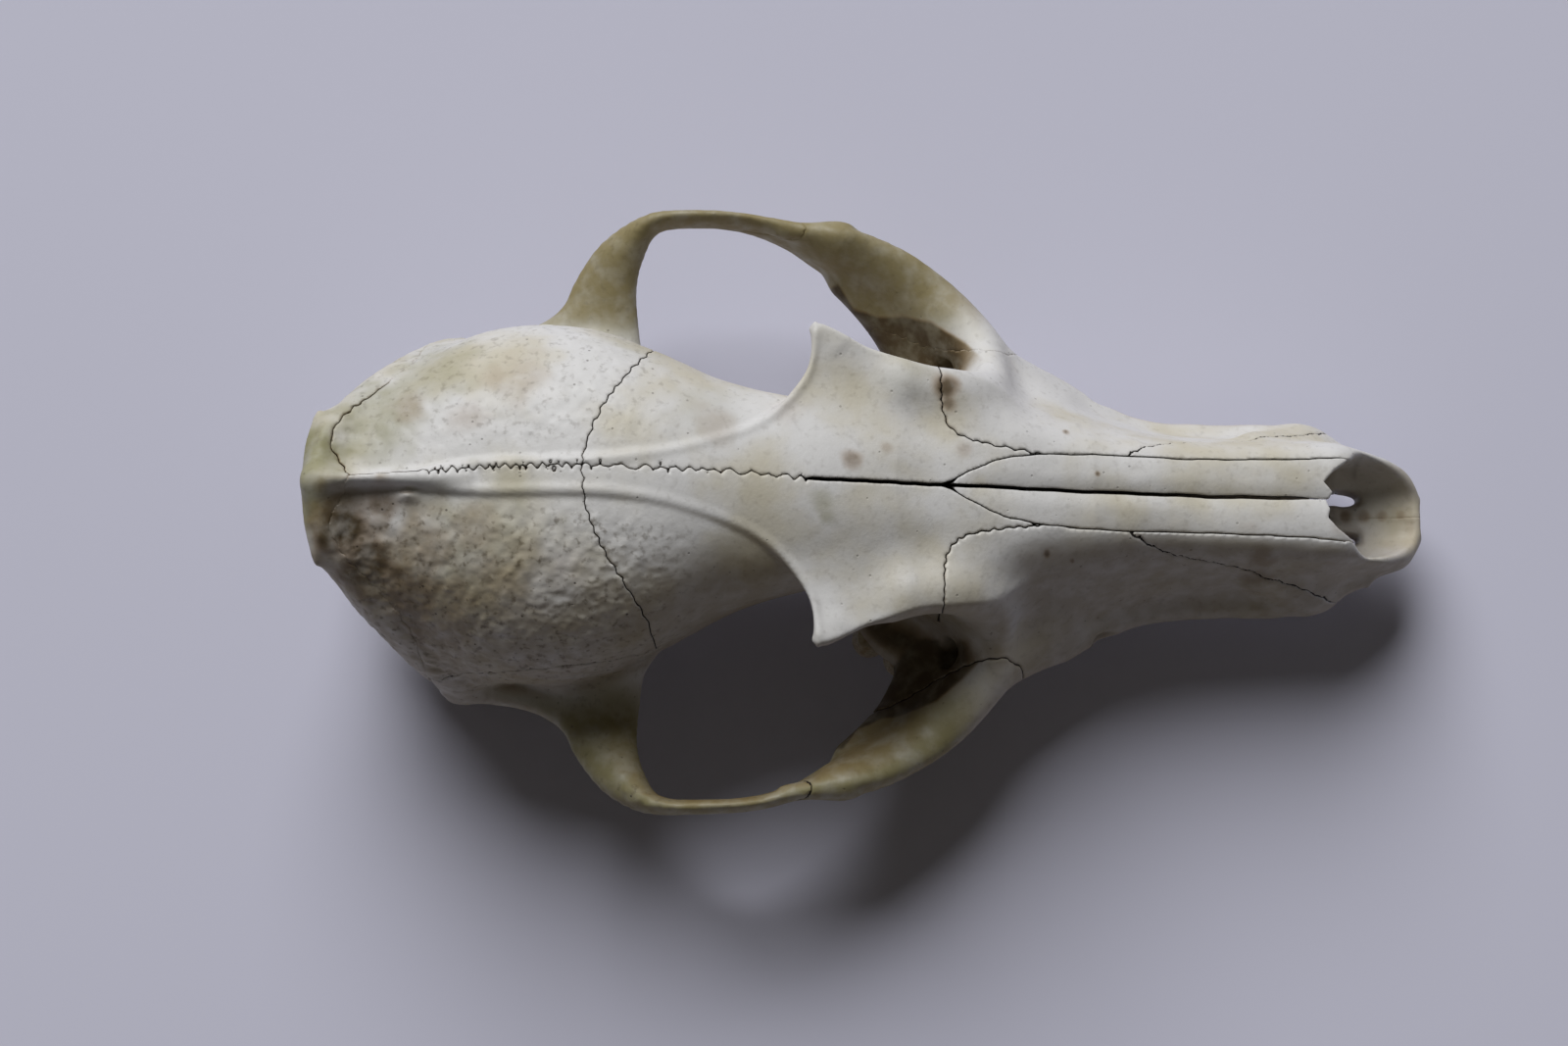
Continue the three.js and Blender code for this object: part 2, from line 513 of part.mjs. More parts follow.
// Thins a closed mesh by collapsing, cheapest first, the edges that bend the surface least.
function thin({ points, faces }, target) {
  const vertexCount = points.length / 3;
  const quadrics = new Float64Array(vertexCount * 10);
  const around = Array.from({ length: vertexCount }, () => new Set());
  const alive = new Uint8Array(faces.length / 3).fill(1);
  const stamp = new Uint32Array(vertexCount);
  const normal = (a, b, c) => {
    const ux = points[b * 3] - points[a * 3];
    const uy = points[b * 3 + 1] - points[a * 3 + 1];
    const uz = points[b * 3 + 2] - points[a * 3 + 2];
    const vx = points[c * 3] - points[a * 3];
    const vy = points[c * 3 + 1] - points[a * 3 + 1];
    const vz = points[c * 3 + 2] - points[a * 3 + 2];
    return [uy * vz - uz * vy, uz * vx - ux * vz, ux * vy - uy * vx];
  };
  for (let f = 0; f < alive.length; f += 1) {
    const corners = [faces[f * 3], faces[f * 3 + 1], faces[f * 3 + 2]];
    const n = normal(...corners);
    const area = Math.hypot(...n);
    for (const v of corners) around[v].add(f);
    if (area < 1e-12) continue;
    const [a, b, c] = n.map((component) => component / area);
    const d = -(a * points[corners[0] * 3] + b * points[corners[0] * 3 + 1] + c * points[corners[0] * 3 + 2]);
    const plane = [a * a, a * b, a * c, a * d, b * b, b * c, b * d, c * c, c * d, d * d];
    for (const v of corners) for (let q = 0; q < 10; q += 1) quadrics[v * 10 + q] += plane[q] * area;
  }
  const errorAt = (q, x, y, z) =>
    q[0] * x * x + 2 * q[1] * x * y + 2 * q[2] * x * z + 2 * q[3] * x + q[4] * y * y +
    2 * q[5] * y * z + 2 * q[6] * y + q[7] * z * z + 2 * q[8] * z + q[9];
  const neighbours = (v) => {
    const found = new Set();
    for (const f of around[v]) for (let c = 0; c < 3; c += 1) found.add(faces[f * 3 + c]);
    found.delete(v);
    return found;
  };
  const heap = [];
  const push = (item) => {
    let i = heap.length;
    heap.push(item);
    while (i > 0 && heap[(i - 1) >> 1].cost > item.cost) {
      heap[i] = heap[(i - 1) >> 1];
      i = (i - 1) >> 1;
    }
    heap[i] = item;
  };
  const pop = () => {
    const first = heap[0];
    const last = heap.pop();
    if (!heap.length) return first;
    let i = 0;
    for (;;) {
      let child = i * 2 + 1;
      if (child >= heap.length) break;
      if (child + 1 < heap.length && heap[child + 1].cost < heap[child].cost) child += 1;
      if (heap[child].cost >= last.cost) break;
      heap[i] = heap[child];
      i = child;
    }
    heap[i] = last;
    return first;
  };
  const consider = (v, w) => {
    const q = new Float64Array(10);
    for (let i = 0; i < 10; i += 1) q[i] = quadrics[v * 10 + i] + quadrics[w * 10 + i];
    const ends = [v, w].map((n) => [points[n * 3], points[n * 3 + 1], points[n * 3 + 2]]);
    const middle = [0, 1, 2].map((c) => (ends[0][c] + ends[1][c]) / 2);
    const length = Math.hypot(...[0, 1, 2].map((c) => ends[0][c] - ends[1][c]));
    const [a, b, c, d, e, f, g, h, i] = [q[0], q[1], q[2], q[3], q[4], q[5], q[6], q[7], q[8]];
    const det = a * (e * h - f * f) - b * (b * h - f * c) + c * (b * f - e * c);
    const spots = [middle, ...ends];
    if (Math.abs(det) > 1e-6) {
      const best = [
        -(d * (e * h - f * f) - b * (g * h - f * i) + c * (g * f - e * i)) / det,
        -(a * (g * h - i * f) - d * (b * h - f * c) + c * (b * i - g * c)) / det,
        -(a * (e * i - f * g) - b * (b * i - g * c) + d * (b * f - e * c)) / det,
      ];
      const off = Math.hypot(...best.map((x, n) => x - middle[n]));
      if (off < length) spots.unshift(best);
    }
    const costs = spots.map((s) => errorAt(q, ...s));
    const pick = costs.indexOf(Math.min(...costs));
    push({ cost: costs[pick] + 2e-4 * length ** 3, v, w, spot: spots[pick], mark: stamp[v] + stamp[w] });
  };
  const flips = (v, w, spot) => {
    for (const f of around[v]) {
      const corners = [faces[f * 3], faces[f * 3 + 1], faces[f * 3 + 2]];
      if (corners.includes(w)) continue;
      const before = normal(...corners);
      const kept = [points[v * 3], points[v * 3 + 1], points[v * 3 + 2]];
      points.set(spot, v * 3);
      const after = normal(...corners);
      points.set(kept, v * 3);
      const dot = before[0] * after[0] + before[1] * after[1] + before[2] * after[2];
      if (dot <= 0.3 * Math.hypot(...before) * Math.hypot(...after)) return true;
    }
    return false;
  };
  let count = alive.length;
  for (let v = 0; v < vertexCount; v += 1) for (const w of neighbours(v)) if (v < w) consider(v, w);
  while (count > target && heap.length) {
    const { v, w, spot, mark } = pop();
    if (!around[v].size || !around[w].size || mark !== stamp[v] + stamp[w]) continue;
    const ofV = neighbours(v);
    const ofW = neighbours(w);
    let shared = 0;
    for (const n of ofV) if (ofW.has(n)) shared += 1;
    if (!ofV.has(w) || shared !== 2 || flips(v, w, spot) || flips(w, v, spot)) continue;
    points.set(spot, v * 3);
    for (let q = 0; q < 10; q += 1) quadrics[v * 10 + q] += quadrics[w * 10 + q];
    for (const f of [...around[w]]) {
      const corners = [faces[f * 3], faces[f * 3 + 1], faces[f * 3 + 2]];
      if (corners.includes(v)) {
        alive[f] = 0;
        count -= 1;
        for (const c of corners) around[c].delete(f);
      } else {
        faces[f * 3 + corners.indexOf(w)] = v;
        around[v].add(f);
      }
    }
    around[w].clear();
    stamp[v] += 1;
    stamp[w] += 1;
    for (const n of neighbours(v)) consider(Math.min(v, n), Math.max(v, n));
  }
  const renumbered = new Map();
  const keptPoints = [];
  const keptFaces = [];
  for (let n = 0; n < faces.length; n += 1) {
    if (!alive[Math.floor(n / 3)]) continue;
    const v = faces[n];
    if (!renumbered.has(v)) {
      renumbered.set(v, renumbered.size);
      keptPoints.push(points[v * 3], points[v * 3 + 1], points[v * 3 + 2]);
    }
    keptFaces.push(renumbered.get(v));
  }
  return { points: Float64Array.from(keptPoints), faces: Uint32Array.from(keptFaces) };
}

// Turns points and triangles, or a three.js geometry, into a solid that can be joined and cut.
function solid({ points, faces }) {
  const mesh = { numProp: 3, vertProperties: Float32Array.from(points), triVerts: Uint32Array.from(faces) };
  return new wasm.Manifold(new wasm.Mesh(mesh));
}
function solidOf(geometry) {
  const bare = geometry.clone();
  bare.deleteAttribute("normal");
  bare.deleteAttribute("uv");
  const merged = mergeVertices(bare, 1e-4);
  const faces = [];
  const { array } = merged.index;
  for (let i = 0; i < array.length; i += 3) {
    const [a, b, c] = array.slice(i, i + 3);
    if (a !== b && b !== c && c !== a) faces.push(a, b, c);
  }
  return solid({ points: merged.attributes.position.array, faces });
}

// A suture's cut: a thin wall along a line seen from above, raised from one height to another.
function wall(line, from, to) {
  const edges = [1, -1].map((side) =>
    line.map(([u, v], i) => {
      const [u0, v0] = line[Math.max(i - 1, 0)];
      const [u1, v1] = line[Math.min(i + 1, line.length - 1)];
      const half = (side * SUTURE_GAP) / 2 / Math.hypot(u1 - u0, v1 - v0);
      return new THREE.Vector2(u - (v1 - v0) * half, v + (u1 - u0) * half);
    }),
  );
  return slab([...edges[1], ...edges[0].reverse()], from, to);
}
function slab(outline, from, to) {
  const shape = new THREE.Shape().setFromPoints(outline.map((p) => new THREE.Vector2(p.x ?? p[0], p.y ?? p[1])));
  const geometry = new THREE.ExtrudeGeometry(shape, { depth: to - from, bevelEnabled: false, steps: 1 });
  return solidOf(geometry.translate(0, 0, from));
}
// The same wall along a line of [x, z] seen from the side, reaching from one y to another.
const sideWall = (line, from, to) => wall(line, -to, -from).rotate([90, 0, 0]);
const floor = (outline, z) => slab(outline, z - SUTURE_GAP / 2, z + SUTURE_GAP / 2);
// Parts a body by cuts, and hands out the pieces by a point inside each.
const CRUMB = 3;
function part(body, cuts) {
  const pieces = body.subtract(wasm.Manifold.union(cuts)).decompose();
  return pieces.filter((piece) => piece.volume() > CRUMB);
}
function take(pieces, ...point) {
  const probe = solidOf(new THREE.BoxGeometry(0.4, 0.4, 0.4).translate(...point));
  const found = pieces.findIndex((piece) => piece.intersect(probe).volume() > 0);
  if (found < 0) throw new Error(`no bone at ${point}`);
  return pieces.splice(found, 1)[0];
}

// The lines of the sutures, of the left side, [x, y] from above or [x, z] from the side.
const LOW = -9;
const HIGH = 60;
const OUT = 46;
const NAPE_X = -58.5;
const NAPE_Z = 24;
const BROW_Z = 22;
const LAMBDOID = [[-66.5, -0.3], [-67.5, 2.4], [-68.2, 5], [-67, 8.2], [-62, 12.4], [NAPE_X, 17.4], [NAPE_X, 27]];
const SQUAMOUS = [
  [NAPE_X - 0.5, NAPE_Z], [-52, 26], [-45, 29], [-40, 29], [-33, 28], [-26.5, 25.5], [-21, 23], [-12, BROW_Z],
  [8, BROW_Z],
];
const CORONAL = [[BREGMA, -0.3], [-36.6, 4], [-34.6, 9], [-31.6, 14], [-29.4, 18], [-28, 26]];
const NASOFRONTAL = [
  [NASION, -0.3], [11, 1.8], [15, 3.6], [20.2, 4.3], [20.9, 4.6], [20.2, 4.9], [14, 5.5], [9.8, 6.7], [8, 9],
  [7.6, 14], [7.2, 24],
];
const NASAL_EDGE = [[20.6, 4.6], [30, 4.9], [40, 4.8], [50, 5], [56, 5.2], [60, 5.4], [66, 5.6]];
const INCISIVE = [[62.4, LOW], [61.8, 9], [60, 13], [55, 18], [46, 23.5], [38, 27.5], [31, 32.4]];
const ZYGOMATIC = [[19.4, 32], [19.2, 22.6], [17.4, 20.5], [13, 20.5], [8, 22], [2, 25], [-3, 26.4], [-9, 26.6]];
const TEMPORAL_TIP = [[-6.6, 32], [-10.6, 24], [-21, 20.4], [-29, 14]];
const PALATE_BACK = [[7.4, -0.3], [7.2, 7.6], [2, 9.2], [-6, 9.8], [-10, 10.6]];
const PALATE_JOIN = [[-8.5, LOW], [-8.5, BROW_Z + 2]];
const EAR_REGION = [[NAPE_X - 0.6, 10.5], [-32, 10.5], [-24.6, 12], [-22, 16], [-21.6, 27]];

const grid = polygonise(halfField, [-77, -3, -3], [77, 45, 53], CELL);
const mesh = settle(thin(settle(grid, halfField, 0.5, 1), HALF_TRIANGLES), halfField, 0.4, 3);
const half = solid(mesh).trimByPlane([0, 1, 0], 0);

// The occipital bone comes away first, then the roof bones above the level of the brow and temples.
const back = part(half, [
  wall(LAMBDOID, NAPE_Z, HIGH),
  floor([...LAMBDOID.slice(0, 6), [NAPE_X, -1]], NAPE_Z),
  sideWall([[NAPE_X, LOW], [NAPE_X, NAPE_Z + SUTURE_GAP / 2]], -1, 27),
]);
const occipital = take(back, -62, 9.5, 16);
const halves = part(take(back, -40, 3, 14), [
  sideWall(SQUAMOUS, -1, 25.6),
  floor([...NASOFRONTAL, [7.2, -1]], BROW_Z),
  wall(NASOFRONTAL, BROW_Z, HIGH),
]);
const roof = part(take(halves, -48, 12, 40), [wall(CORONAL, 10, HIGH)]);

// The lower half is parted into the face, the palate's rear, the cheek bone and the base.
const lower = part(take(halves, -40, 3, 14), [
  wall(PALATE_BACK, LOW, BROW_Z + 2),
  sideWall(PALATE_JOIN, -1, 14),
  wall(ZYGOMATIC, LOW, HIGH),
  sideWall(TEMPORAL_TIP, 27.5, OUT),
]);
const faceBones = part(take(lower, 30, 10.5, 14), [
  wall(NASAL_EDGE, 19, HIGH),
  floor([[4, 5.2], [4, -1], [21.4, -1], [21.4, 5.2]], BROW_Z),
  sideWall(INCISIVE, 4.85, 24),
  sideWall(INCISIVE.slice(0, 5), -1, 5.4),
]);
const baseBones = part(take(lower, -40, 3, 14), [wall(EAR_REGION, LOW, 32)]);

// The cheek teeth of one side. A tooth is a row of blunt cusps, turned with the edge of the jaw, and each
// cusp is [forward, outward, long, wide, tall] from the tooth's middle.
const TEETH = [
  { x: 45.4, y: 10.6, turn: 0, cusps: [[0, 0, 4.2, 2.8, 3.4]] },
  { x: 38.4, y: 11.2, turn: 6, cusps: [[0.6, 0, 6, 3, 5.2], [-2.6, 0, 3.6, 2.6, 3]] },
  { x: 29.4, y: 13.4, turn: 20, cusps: [[0.8, 0, 6.4, 3.6, 5.8], [-2.8, 0, 4, 3, 3.6]] },
  { x: 16.4, y: 16.8, turn: 12, cusps: [[1.6, 0.2, 8, 5, 8.4], [-4, 0, 6.4, 4.4, 6.6], [4.4, -3, 4.4, 4, 4.2]] },
  { x: 5, y: 16.4, turn: 0, cusps: [[2, 1.8, 5, 5, 6], [-2, 1.6, 4.8, 4.8, 5.2], [0, -3, 6.4, 6, 3.8]] },
  { x: -1.4, y: 14, turn: 0, cusps: [[0.2, 1.4, 4.6, 4.6, 4], [0, -1.8, 4, 4.4, 3]] },
];
const ROOT_DEPTH = 3;
const CUSP_SIDES = 7;
const CUSP_PROFILE = [[0, 1], [0.36, 0.94], [0.72, 0.66], [0.98, 0.26], [0.9, 0]];
function cusp(forward, outward, long, wide, tall) {
  const rings = CUSP_PROFILE.map(([radius, depth]) => new THREE.Vector2(radius, -tall * depth));
  rings.push(new THREE.Vector2(0.7, ROOT_DEPTH), new THREE.Vector2(0, ROOT_DEPTH));
  const geometry = new THREE.LatheGeometry(rings, CUSP_SIDES).rotateX(Math.PI / 2);
  return solidOf(geometry.scale(long / 2, wide / 2, 1).translate(forward, outward, 0));
}
function toothRow() {
  const crowns = TEETH.map(({ x, y, turn, cusps }) =>
    wasm.Manifold.union(cusps.map((sizes) => cusp(...sizes)))
      .rotate([0, 0, -turn])
      .translate([x, y, ALVEOLAR_Z]),
  );
  return wasm.Manifold.union(crowns);
}

function earCapsule() {
  const { x, y, z, long, wide, tall } = EAR_CAPSULE;
  const ball = new THREE.SphereGeometry(1, 18, 12).rotateX(Math.PI / 2);
  return solidOf(ball.scale(long, wide, tall).translate(x, y, z));
}

const group = new THREE.Group();
function bone(name, body) {
  const { vertProperties, triVerts } = body.getMesh();
  const geometry = new THREE.BufferGeometry();
  geometry.setAttribute("position", new THREE.BufferAttribute(vertProperties, 3));
  geometry.setIndex(new THREE.BufferAttribute(triVerts, 1));
  geometry.computeVertexNormals();
  const mesh = new THREE.Mesh(geometry, new THREE.MeshStandardMaterial(BONE));
  mesh.name = name;
  group.add(mesh);
}

// A bone on the mid-line is joined to its mirror image. The others stop short of the mid-line suture.
const reflect = (body) => body.mirror([0, 1, 0]);
function middleBone(name, body) {
  bone(name, body.add(reflect(body)));
}
function pairOfBones(name, body) {
  const left = body.trimByPlane([0, 1, 0], SUTURE_GAP / 2);
  bone(`${name}_left`, left);
  bone(`${name}_right`, reflect(left));
}

middleBone("occipital", occipital);
middleBone("basicranium", take(baseBones, -40, 3, 14));
middleBone("palatine", take(lower, 0, 3, 19));
pairOfBones("parietal", take(roof, -48, 12, 40));
pairOfBones("frontal", take(roof, -4, 6, 38));
pairOfBones("nasal", take(faceBones, 45, 2.5, 28.3));
pairOfBones("premaxilla", take(faceBones, 68, 4, 10.4));
pairOfBones("maxilla", take(faceBones, 30, 10.5, 14).add(toothRow()));
pairOfBones("jugal", take(lower, -2, 33.4, 18));
pairOfBones("temporal", take(baseBones, -37, 20, 18));
pairOfBones("bulla", earCapsule());

export default group;
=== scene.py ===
from collections import namedtuple
from math import cos, radians, sin

import bpy
import numpy as np
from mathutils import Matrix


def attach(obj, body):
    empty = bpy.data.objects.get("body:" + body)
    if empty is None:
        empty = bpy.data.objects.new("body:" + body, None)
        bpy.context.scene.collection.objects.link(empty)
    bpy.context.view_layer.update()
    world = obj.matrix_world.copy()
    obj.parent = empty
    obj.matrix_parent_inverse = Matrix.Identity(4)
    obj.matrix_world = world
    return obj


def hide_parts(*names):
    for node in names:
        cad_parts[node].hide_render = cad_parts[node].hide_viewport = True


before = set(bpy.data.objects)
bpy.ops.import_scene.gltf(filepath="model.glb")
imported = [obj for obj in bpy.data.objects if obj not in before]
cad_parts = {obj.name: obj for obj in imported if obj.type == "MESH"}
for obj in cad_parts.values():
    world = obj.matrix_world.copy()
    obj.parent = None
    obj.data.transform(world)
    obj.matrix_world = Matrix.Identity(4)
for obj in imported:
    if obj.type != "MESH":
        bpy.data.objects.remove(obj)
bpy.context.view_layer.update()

import openvdb
from mathutils import Matrix, Vector

# The studio: a pale, matt table top under one wide window-like light from the upper left, with a weak
# fill from all round. The camera looks down on the skull, ten degrees off plumb, from half a metre.
MM = 0.001
scene = bpy.context.scene
scene.view_settings.view_transform = "Standard"


def linear(code):
    """The linear colour of an sRGB hex value."""
    parts = [int(code[i:i + 2], 16) / 255 for i in (1, 3, 5)]
    return (*[c / 12.92 if c <= 0.04045 else ((c + 0.055) / 1.055) ** 2.4 for c in parts], 1)


def node(tree, kind, links=None, **settings):
    """Adds a shader node. Settings go to its properties, and links to its sockets, by name or place:
    a socket is joined, and any other value is set."""
    made = tree.nodes.new(kind)
    for name, value in settings.items():
        setattr(made, name, value)
    for place, value in (links or {}).items():
        if isinstance(value, bpy.types.NodeSocket):
            tree.links.new(value, made.inputs[place])
        else:
            made.inputs[place].default_value = value
    return made


def blank_material(name):
    material = bpy.data.materials.new(name)
    material.use_nodes = True
    return material, material.node_tree, material.node_tree.nodes["Principled BSDF"]


TABLE_REACH = 4.0
table_mesh = bpy.data.meshes.new("table_top")
corners = [(-TABLE_REACH, -TABLE_REACH, 0), (TABLE_REACH, -TABLE_REACH, 0),
           (TABLE_REACH, TABLE_REACH, 0), (-TABLE_REACH, TABLE_REACH, 0)]
table_mesh.from_pydata(corners, [], [(0, 1, 2, 3)])
table = bpy.data.objects.new("table_top", table_mesh)
scene.collection.objects.link(table)
paint, tree, shader = blank_material("matt_wall_paint")
shader.inputs["Base Color"].default_value = linear("#c9c8d8")
shader.inputs["Roughness"].default_value = 0.85
table_mesh.materials.append(paint)


def area_light(name, place, aim, size, power, colour):
    data = bpy.data.lights.new(name, "AREA")
    data.shape = "DISK"
    data.size = size
    data.energy = power
    data.color = colour
    lamp = bpy.data.objects.new(name, data)
    lamp.location = place
    lamp.rotation_euler = (Vector(aim) - Vector(place)).to_track_quat("-Z", "Y").to_euler()
    scene.collection.objects.link(lamp)


area_light("window", (-0.6, 2.1, 2.1), (0, 0, 0.02), 2.3, 99, (0.97, 0.985, 1))
world = bpy.data.worlds.new("soft_fill")
world.use_nodes = True
world.node_tree.nodes["Background"].inputs["Color"].default_value = linear("#d8d2c8")
world.node_tree.nodes["Background"].inputs["Strength"].default_value = 0.085
scene.world = world

VIEW_CENTRE = (-12.5 * MM, -5.8 * MM, 45 * MM)
VIEW_DISTANCE = 450 * MM
VIEW_LEAN = radians(10)
VIEW_ROLL = radians(-0.45)
lens = bpy.data.cameras.new("camera")
lens.sensor_width = 36
lens.lens = 83
lens.clip_start = 0.01
camera = bpy.data.objects.new("camera", lens)
back = Vector((0, -sin(VIEW_LEAN), cos(VIEW_LEAN)))
camera.location = Vector(VIEW_CENTRE) + VIEW_DISTANCE * back
camera.rotation_euler = (Matrix.Rotation(VIEW_LEAN, 3, "X") @ Matrix.Rotation(VIEW_ROLL, 3, "Z")).to_euler()
scene.collection.objects.link(camera)
scene.camera = camera

# The brain case: a thin-walled dome of bone, drawn as a smooth solid that is below zero inside.
# Bones of the head grow into one another, so all their forms are first joined with soft fillets,
# and the sutures part them afterwards. Sizes are in millimetres, and both sides are alike.
Form = namedtuple("Form", "low high field")
EVERYWHERE = 1e3


def curve(stations, values):
    """A smooth curve through stations: tangents by central differences, level past both ends."""
    at = np.array(stations, float)
    value = np.array(values, float)
    before = np.maximum(np.arange(at.size) - 1, 0)
    after = np.minimum(np.arange(at.size) + 1, at.size - 1)
    slope = (value[after] - value[before]) / (at[after] - at[before])
    fine = np.linspace(at[0], at[-1], 40 * at.size)
    i = np.clip(np.searchsorted(at, fine, side="right") - 1, 0, at.size - 2)
    span = at[i + 1] - at[i]
    t = (fine - at[i]) / span
    rise = value[i + 1] - value[i]
    bend = slope[i] * span - rise
    unbend = rise - slope[i + 1] * span
    drawn = value[i] + t * rise + t * (1 - t) * ((1 - t) * bend + t * unbend)
    return lambda x: np.interp(x, fine, drawn)


def blend(a, b, fillet):
    """Joins two fields with a fillet."""
    h = np.maximum(fillet - np.abs(a - b), 0) / fillet
    return np.minimum(a, b) - h * h * fillet / 4


def ellipsoid(centre, radii):
    centre = np.array(centre, float)
    radii = np.array(radii, float)

    def field(x, y, z):
        u, v, w = [(p - c) / r for p, c, r in zip((x, y, z), centre, radii)]
        near = np.sqrt(u * u + v * v + w * w)
        slope = np.sqrt((u / radii[0]) ** 2 + (v / radii[1]) ** 2 + (w / radii[2]) ** 2)
        return near * (near - 1) / np.maximum(slope, 1e-6)

    return Form(centre - radii, centre + radii, field)


def loft(at, top, low, wide_top, wide_low, power):
    """A body lofted along X. Each station gives its top and low height and its half width at both."""
    top_at, low_at, wide_top_at, wide_low_at = [curve(at, v) for v in (top, low, wide_top, wide_low)]

    def field(x, y, z):
        past = np.maximum(at[0] - x, x - at[-1])
        foot = low_at(x)
        half = (top_at(x) - foot) / 2
        h = (z - foot - half) / half
        wide_foot = wide_low_at(x)
        wide = wide_foot + (wide_top_at(x) - wide_foot) * np.clip((h + 1) / 2, 0, 1)
        round_ = (np.abs(y / wide) ** power + np.abs(h) ** power) ** (1 / power)
        return np.maximum((round_ - 1) * np.minimum(wide, half), past)

    return Form((at[0], -EVERYWHERE, -EVERYWHERE), (at[-1], EVERYWHERE, EVERYWHERE), field)


def sweep(stations, steps=4):
    """A band swept along a path. Each station is x, y, z, half thickness, half height and a lean in
    degrees. The thickness lies across the path in plan, and a lean tips the top edge outwards."""
    rows = np.array([list(s) + [0] * (6 - len(s)) for s in stations], float)
    place = np.linspace(0, len(rows) - 1, (len(rows) - 1) * steps + 1)
    path = np.stack([curve(np.arange(len(rows)), column)(place) for column in rows.T], 1)

    def field(x, y, z):
        best = np.full(x.shape, 1e3)
        for a, b in zip(path[:-1], path[1:]):
            go = b[:3] - a[:3]
            length = np.linalg.norm(go)
            across = np.array([-go[1], go[0]]) / np.hypot(go[0], go[1])
            rise = np.cross(go, (*across, 0)) / length
            px, py, pz = x - a[0], y - a[1], z - a[2]
            along = (px * go[0] + py * go[1] + pz * go[2]) / length
            t = np.clip(along / length, 0, 1)
            side = px * across[0] + py * across[1]
            up = px * rise[0] + py * rise[1] + pz * rise[2]
            thick, tall, lean = [a[c] + (b[c] - a[c]) * t for c in (3, 4, 5)]
            slim = np.minimum(thick, tall)
            c, s = np.cos(np.radians(lean)), np.sin(np.radians(lean))
            u = (side * c + up * s) / thick
            v = (up * c - side * s) / tall
            w = (along - t * length) / slim
            best = np.minimum(best, (np.sqrt(u * u + v * v + w * w) - 1) * slim)
        return best

    stout = rows[:, 3:5].max()
    return Form(path[:, :3].min(0) - stout, path[:, :3].max(0) + stout, field)


INION, CREST_FORK, BREGMA, POSTORBITAL, NASION, PROSTHION = -73, -57, -37.5, -9, 7.6, 73
INION_Z = 44
vault = loft(
    at=[-71.1, -70.5, -69.6, -68.6, -67, -61, -53, -45, -37, -29, -21, -14, -6, 0],
    top=[41.2, 42.2, 42.9, 43.4, 44, 45.2, 46.5, 47.4, 47.8, 47.4, 46, 44.4, 42, 39],
    low=[38.6, 34.5, 28, 21.5, 16.5, 12.5, 10, 9, 9.5, 11, 14, 17, 19, 21],
    wide_top=[6.8, 8.2, 9.2, 10.2, 11.4, 15.8, 20.2, 22.2, 21.6, 18.8, 15.4, 13, 10.6, 7],
    wide_low=[6.4, 7.8, 9.2, 10.6, 13, 19, 23.4, 24.2, 23.2, 20, 15.4, 11.8, 8.6, 6],
    power=2.3,
)
nape = ellipsoid((-61.5, 0, 27), (9.8, 15, 16))
nape_ridge = sweep([(-69.8, 0, 41.5, 1, 1), (-70, 0.01, 36, 0.9, 0.9), (-69.8, 0.02, 29, 0.6, 0.6)])

# The flat upper face of the frontal bones. Its rear edges are the two temple lines, and its corners,
# the postorbital processes, stand out over the eye sockets.
shield_half = curve(
    [-60, CREST_FORK, -50, BREGMA, -30, -24, -18, -14.5, -12, -10.4, -9.3, -8.8, -8.5, -8.3, -8, -6.4, -4.5, -2.6,
     0, 2.4, 5, 9, 14, 22],
    [0.6, 1, 2, 2.2, 2.9, 4.2, 6.2, 8.2, 10.6, 12.6, 14.4, 16, 18, 19.5, 20.2, 19.9, 19.2, 18.3,
     17, 15.3, 14.2, 13.4, 12, 6],
)
shield_top = curve(
    [-60, CREST_FORK, -50, BREGMA, -30, -22, -16, POSTORBITAL, -2, 4, 10, 14, 18, 22],
    [45.4, 46.4, 47.2, 48.1, 47.7, 46.4, 45.3, 44.2, 42.7, 40.8, 38.3, 36.2, 33, 28.6],
)


def shield_surface(x, y):
    """Falls away from the middle, then runs out flat into the dished corner over the eye."""
    t = np.clip(y / 13.5, 0, 1)
    fall = 3 * t * t * (3 - 2 * t) - 0.4 * np.clip((y - 14) / 6, 0, 1)
    furrow = 0.7 * np.exp(-((x - 4) / 12) ** 2 - (y / 3.6) ** 2)
    return shield_top(x) - fall - furrow


def shield_field(x, y, z):
    slope = (shield_half(x + 0.1) - shield_half(x - 0.1)) / 0.2
    edge = (y - shield_half(x)) / np.hypot(1, slope)
    thick = 4.6 - 3.2 * np.clip(y / 20, 0, 1)
    plate = np.abs(z - shield_surface(x, y) + thick / 2) - thick / 2
    easing = np.interp(x, [-16, -10], [1.8, 0.6])
    return np.maximum(-blend(-plate, -edge, easing), np.maximum(-60 - x, x - 22))


shield = Form((-60, 0, 24), (22, 22, 50), shield_field)
sagittal_crest = sweep([
    (INION + 2.2, 0, INION_Z - 0.5, 0.8, 1.7),
    (-66, 0, 45.6, 0.75, 1.8),
    (CREST_FORK, 0, 46.9, 1.1, 1.1),
    (-52, 0, 46.6, 1, 0.8),
])
line_at = np.array([CREST_FORK, -50, BREGMA, -30, -24, -18, -14.5, -12, -10.4, -9.3, -8.8, -8.5, -8.3])
line_size = np.interp(line_at, [-40, -12, -8.3], [0.5, 0.36, 0.2])
line_out = shield_half(line_at) - 0.35
temple_line = sweep([
    (x, y, shield_surface(x, y) - 0.25, r, r) for x, y, r in zip(line_at, line_out, line_size)
])
process_tip = sweep([(-6, 17.6, 39.9, 1, 0.6), (-7.6, 19.2, 40.3, 0.9, 0.5), (-8.7, 20, 40.7, 0.5, 0.4)])
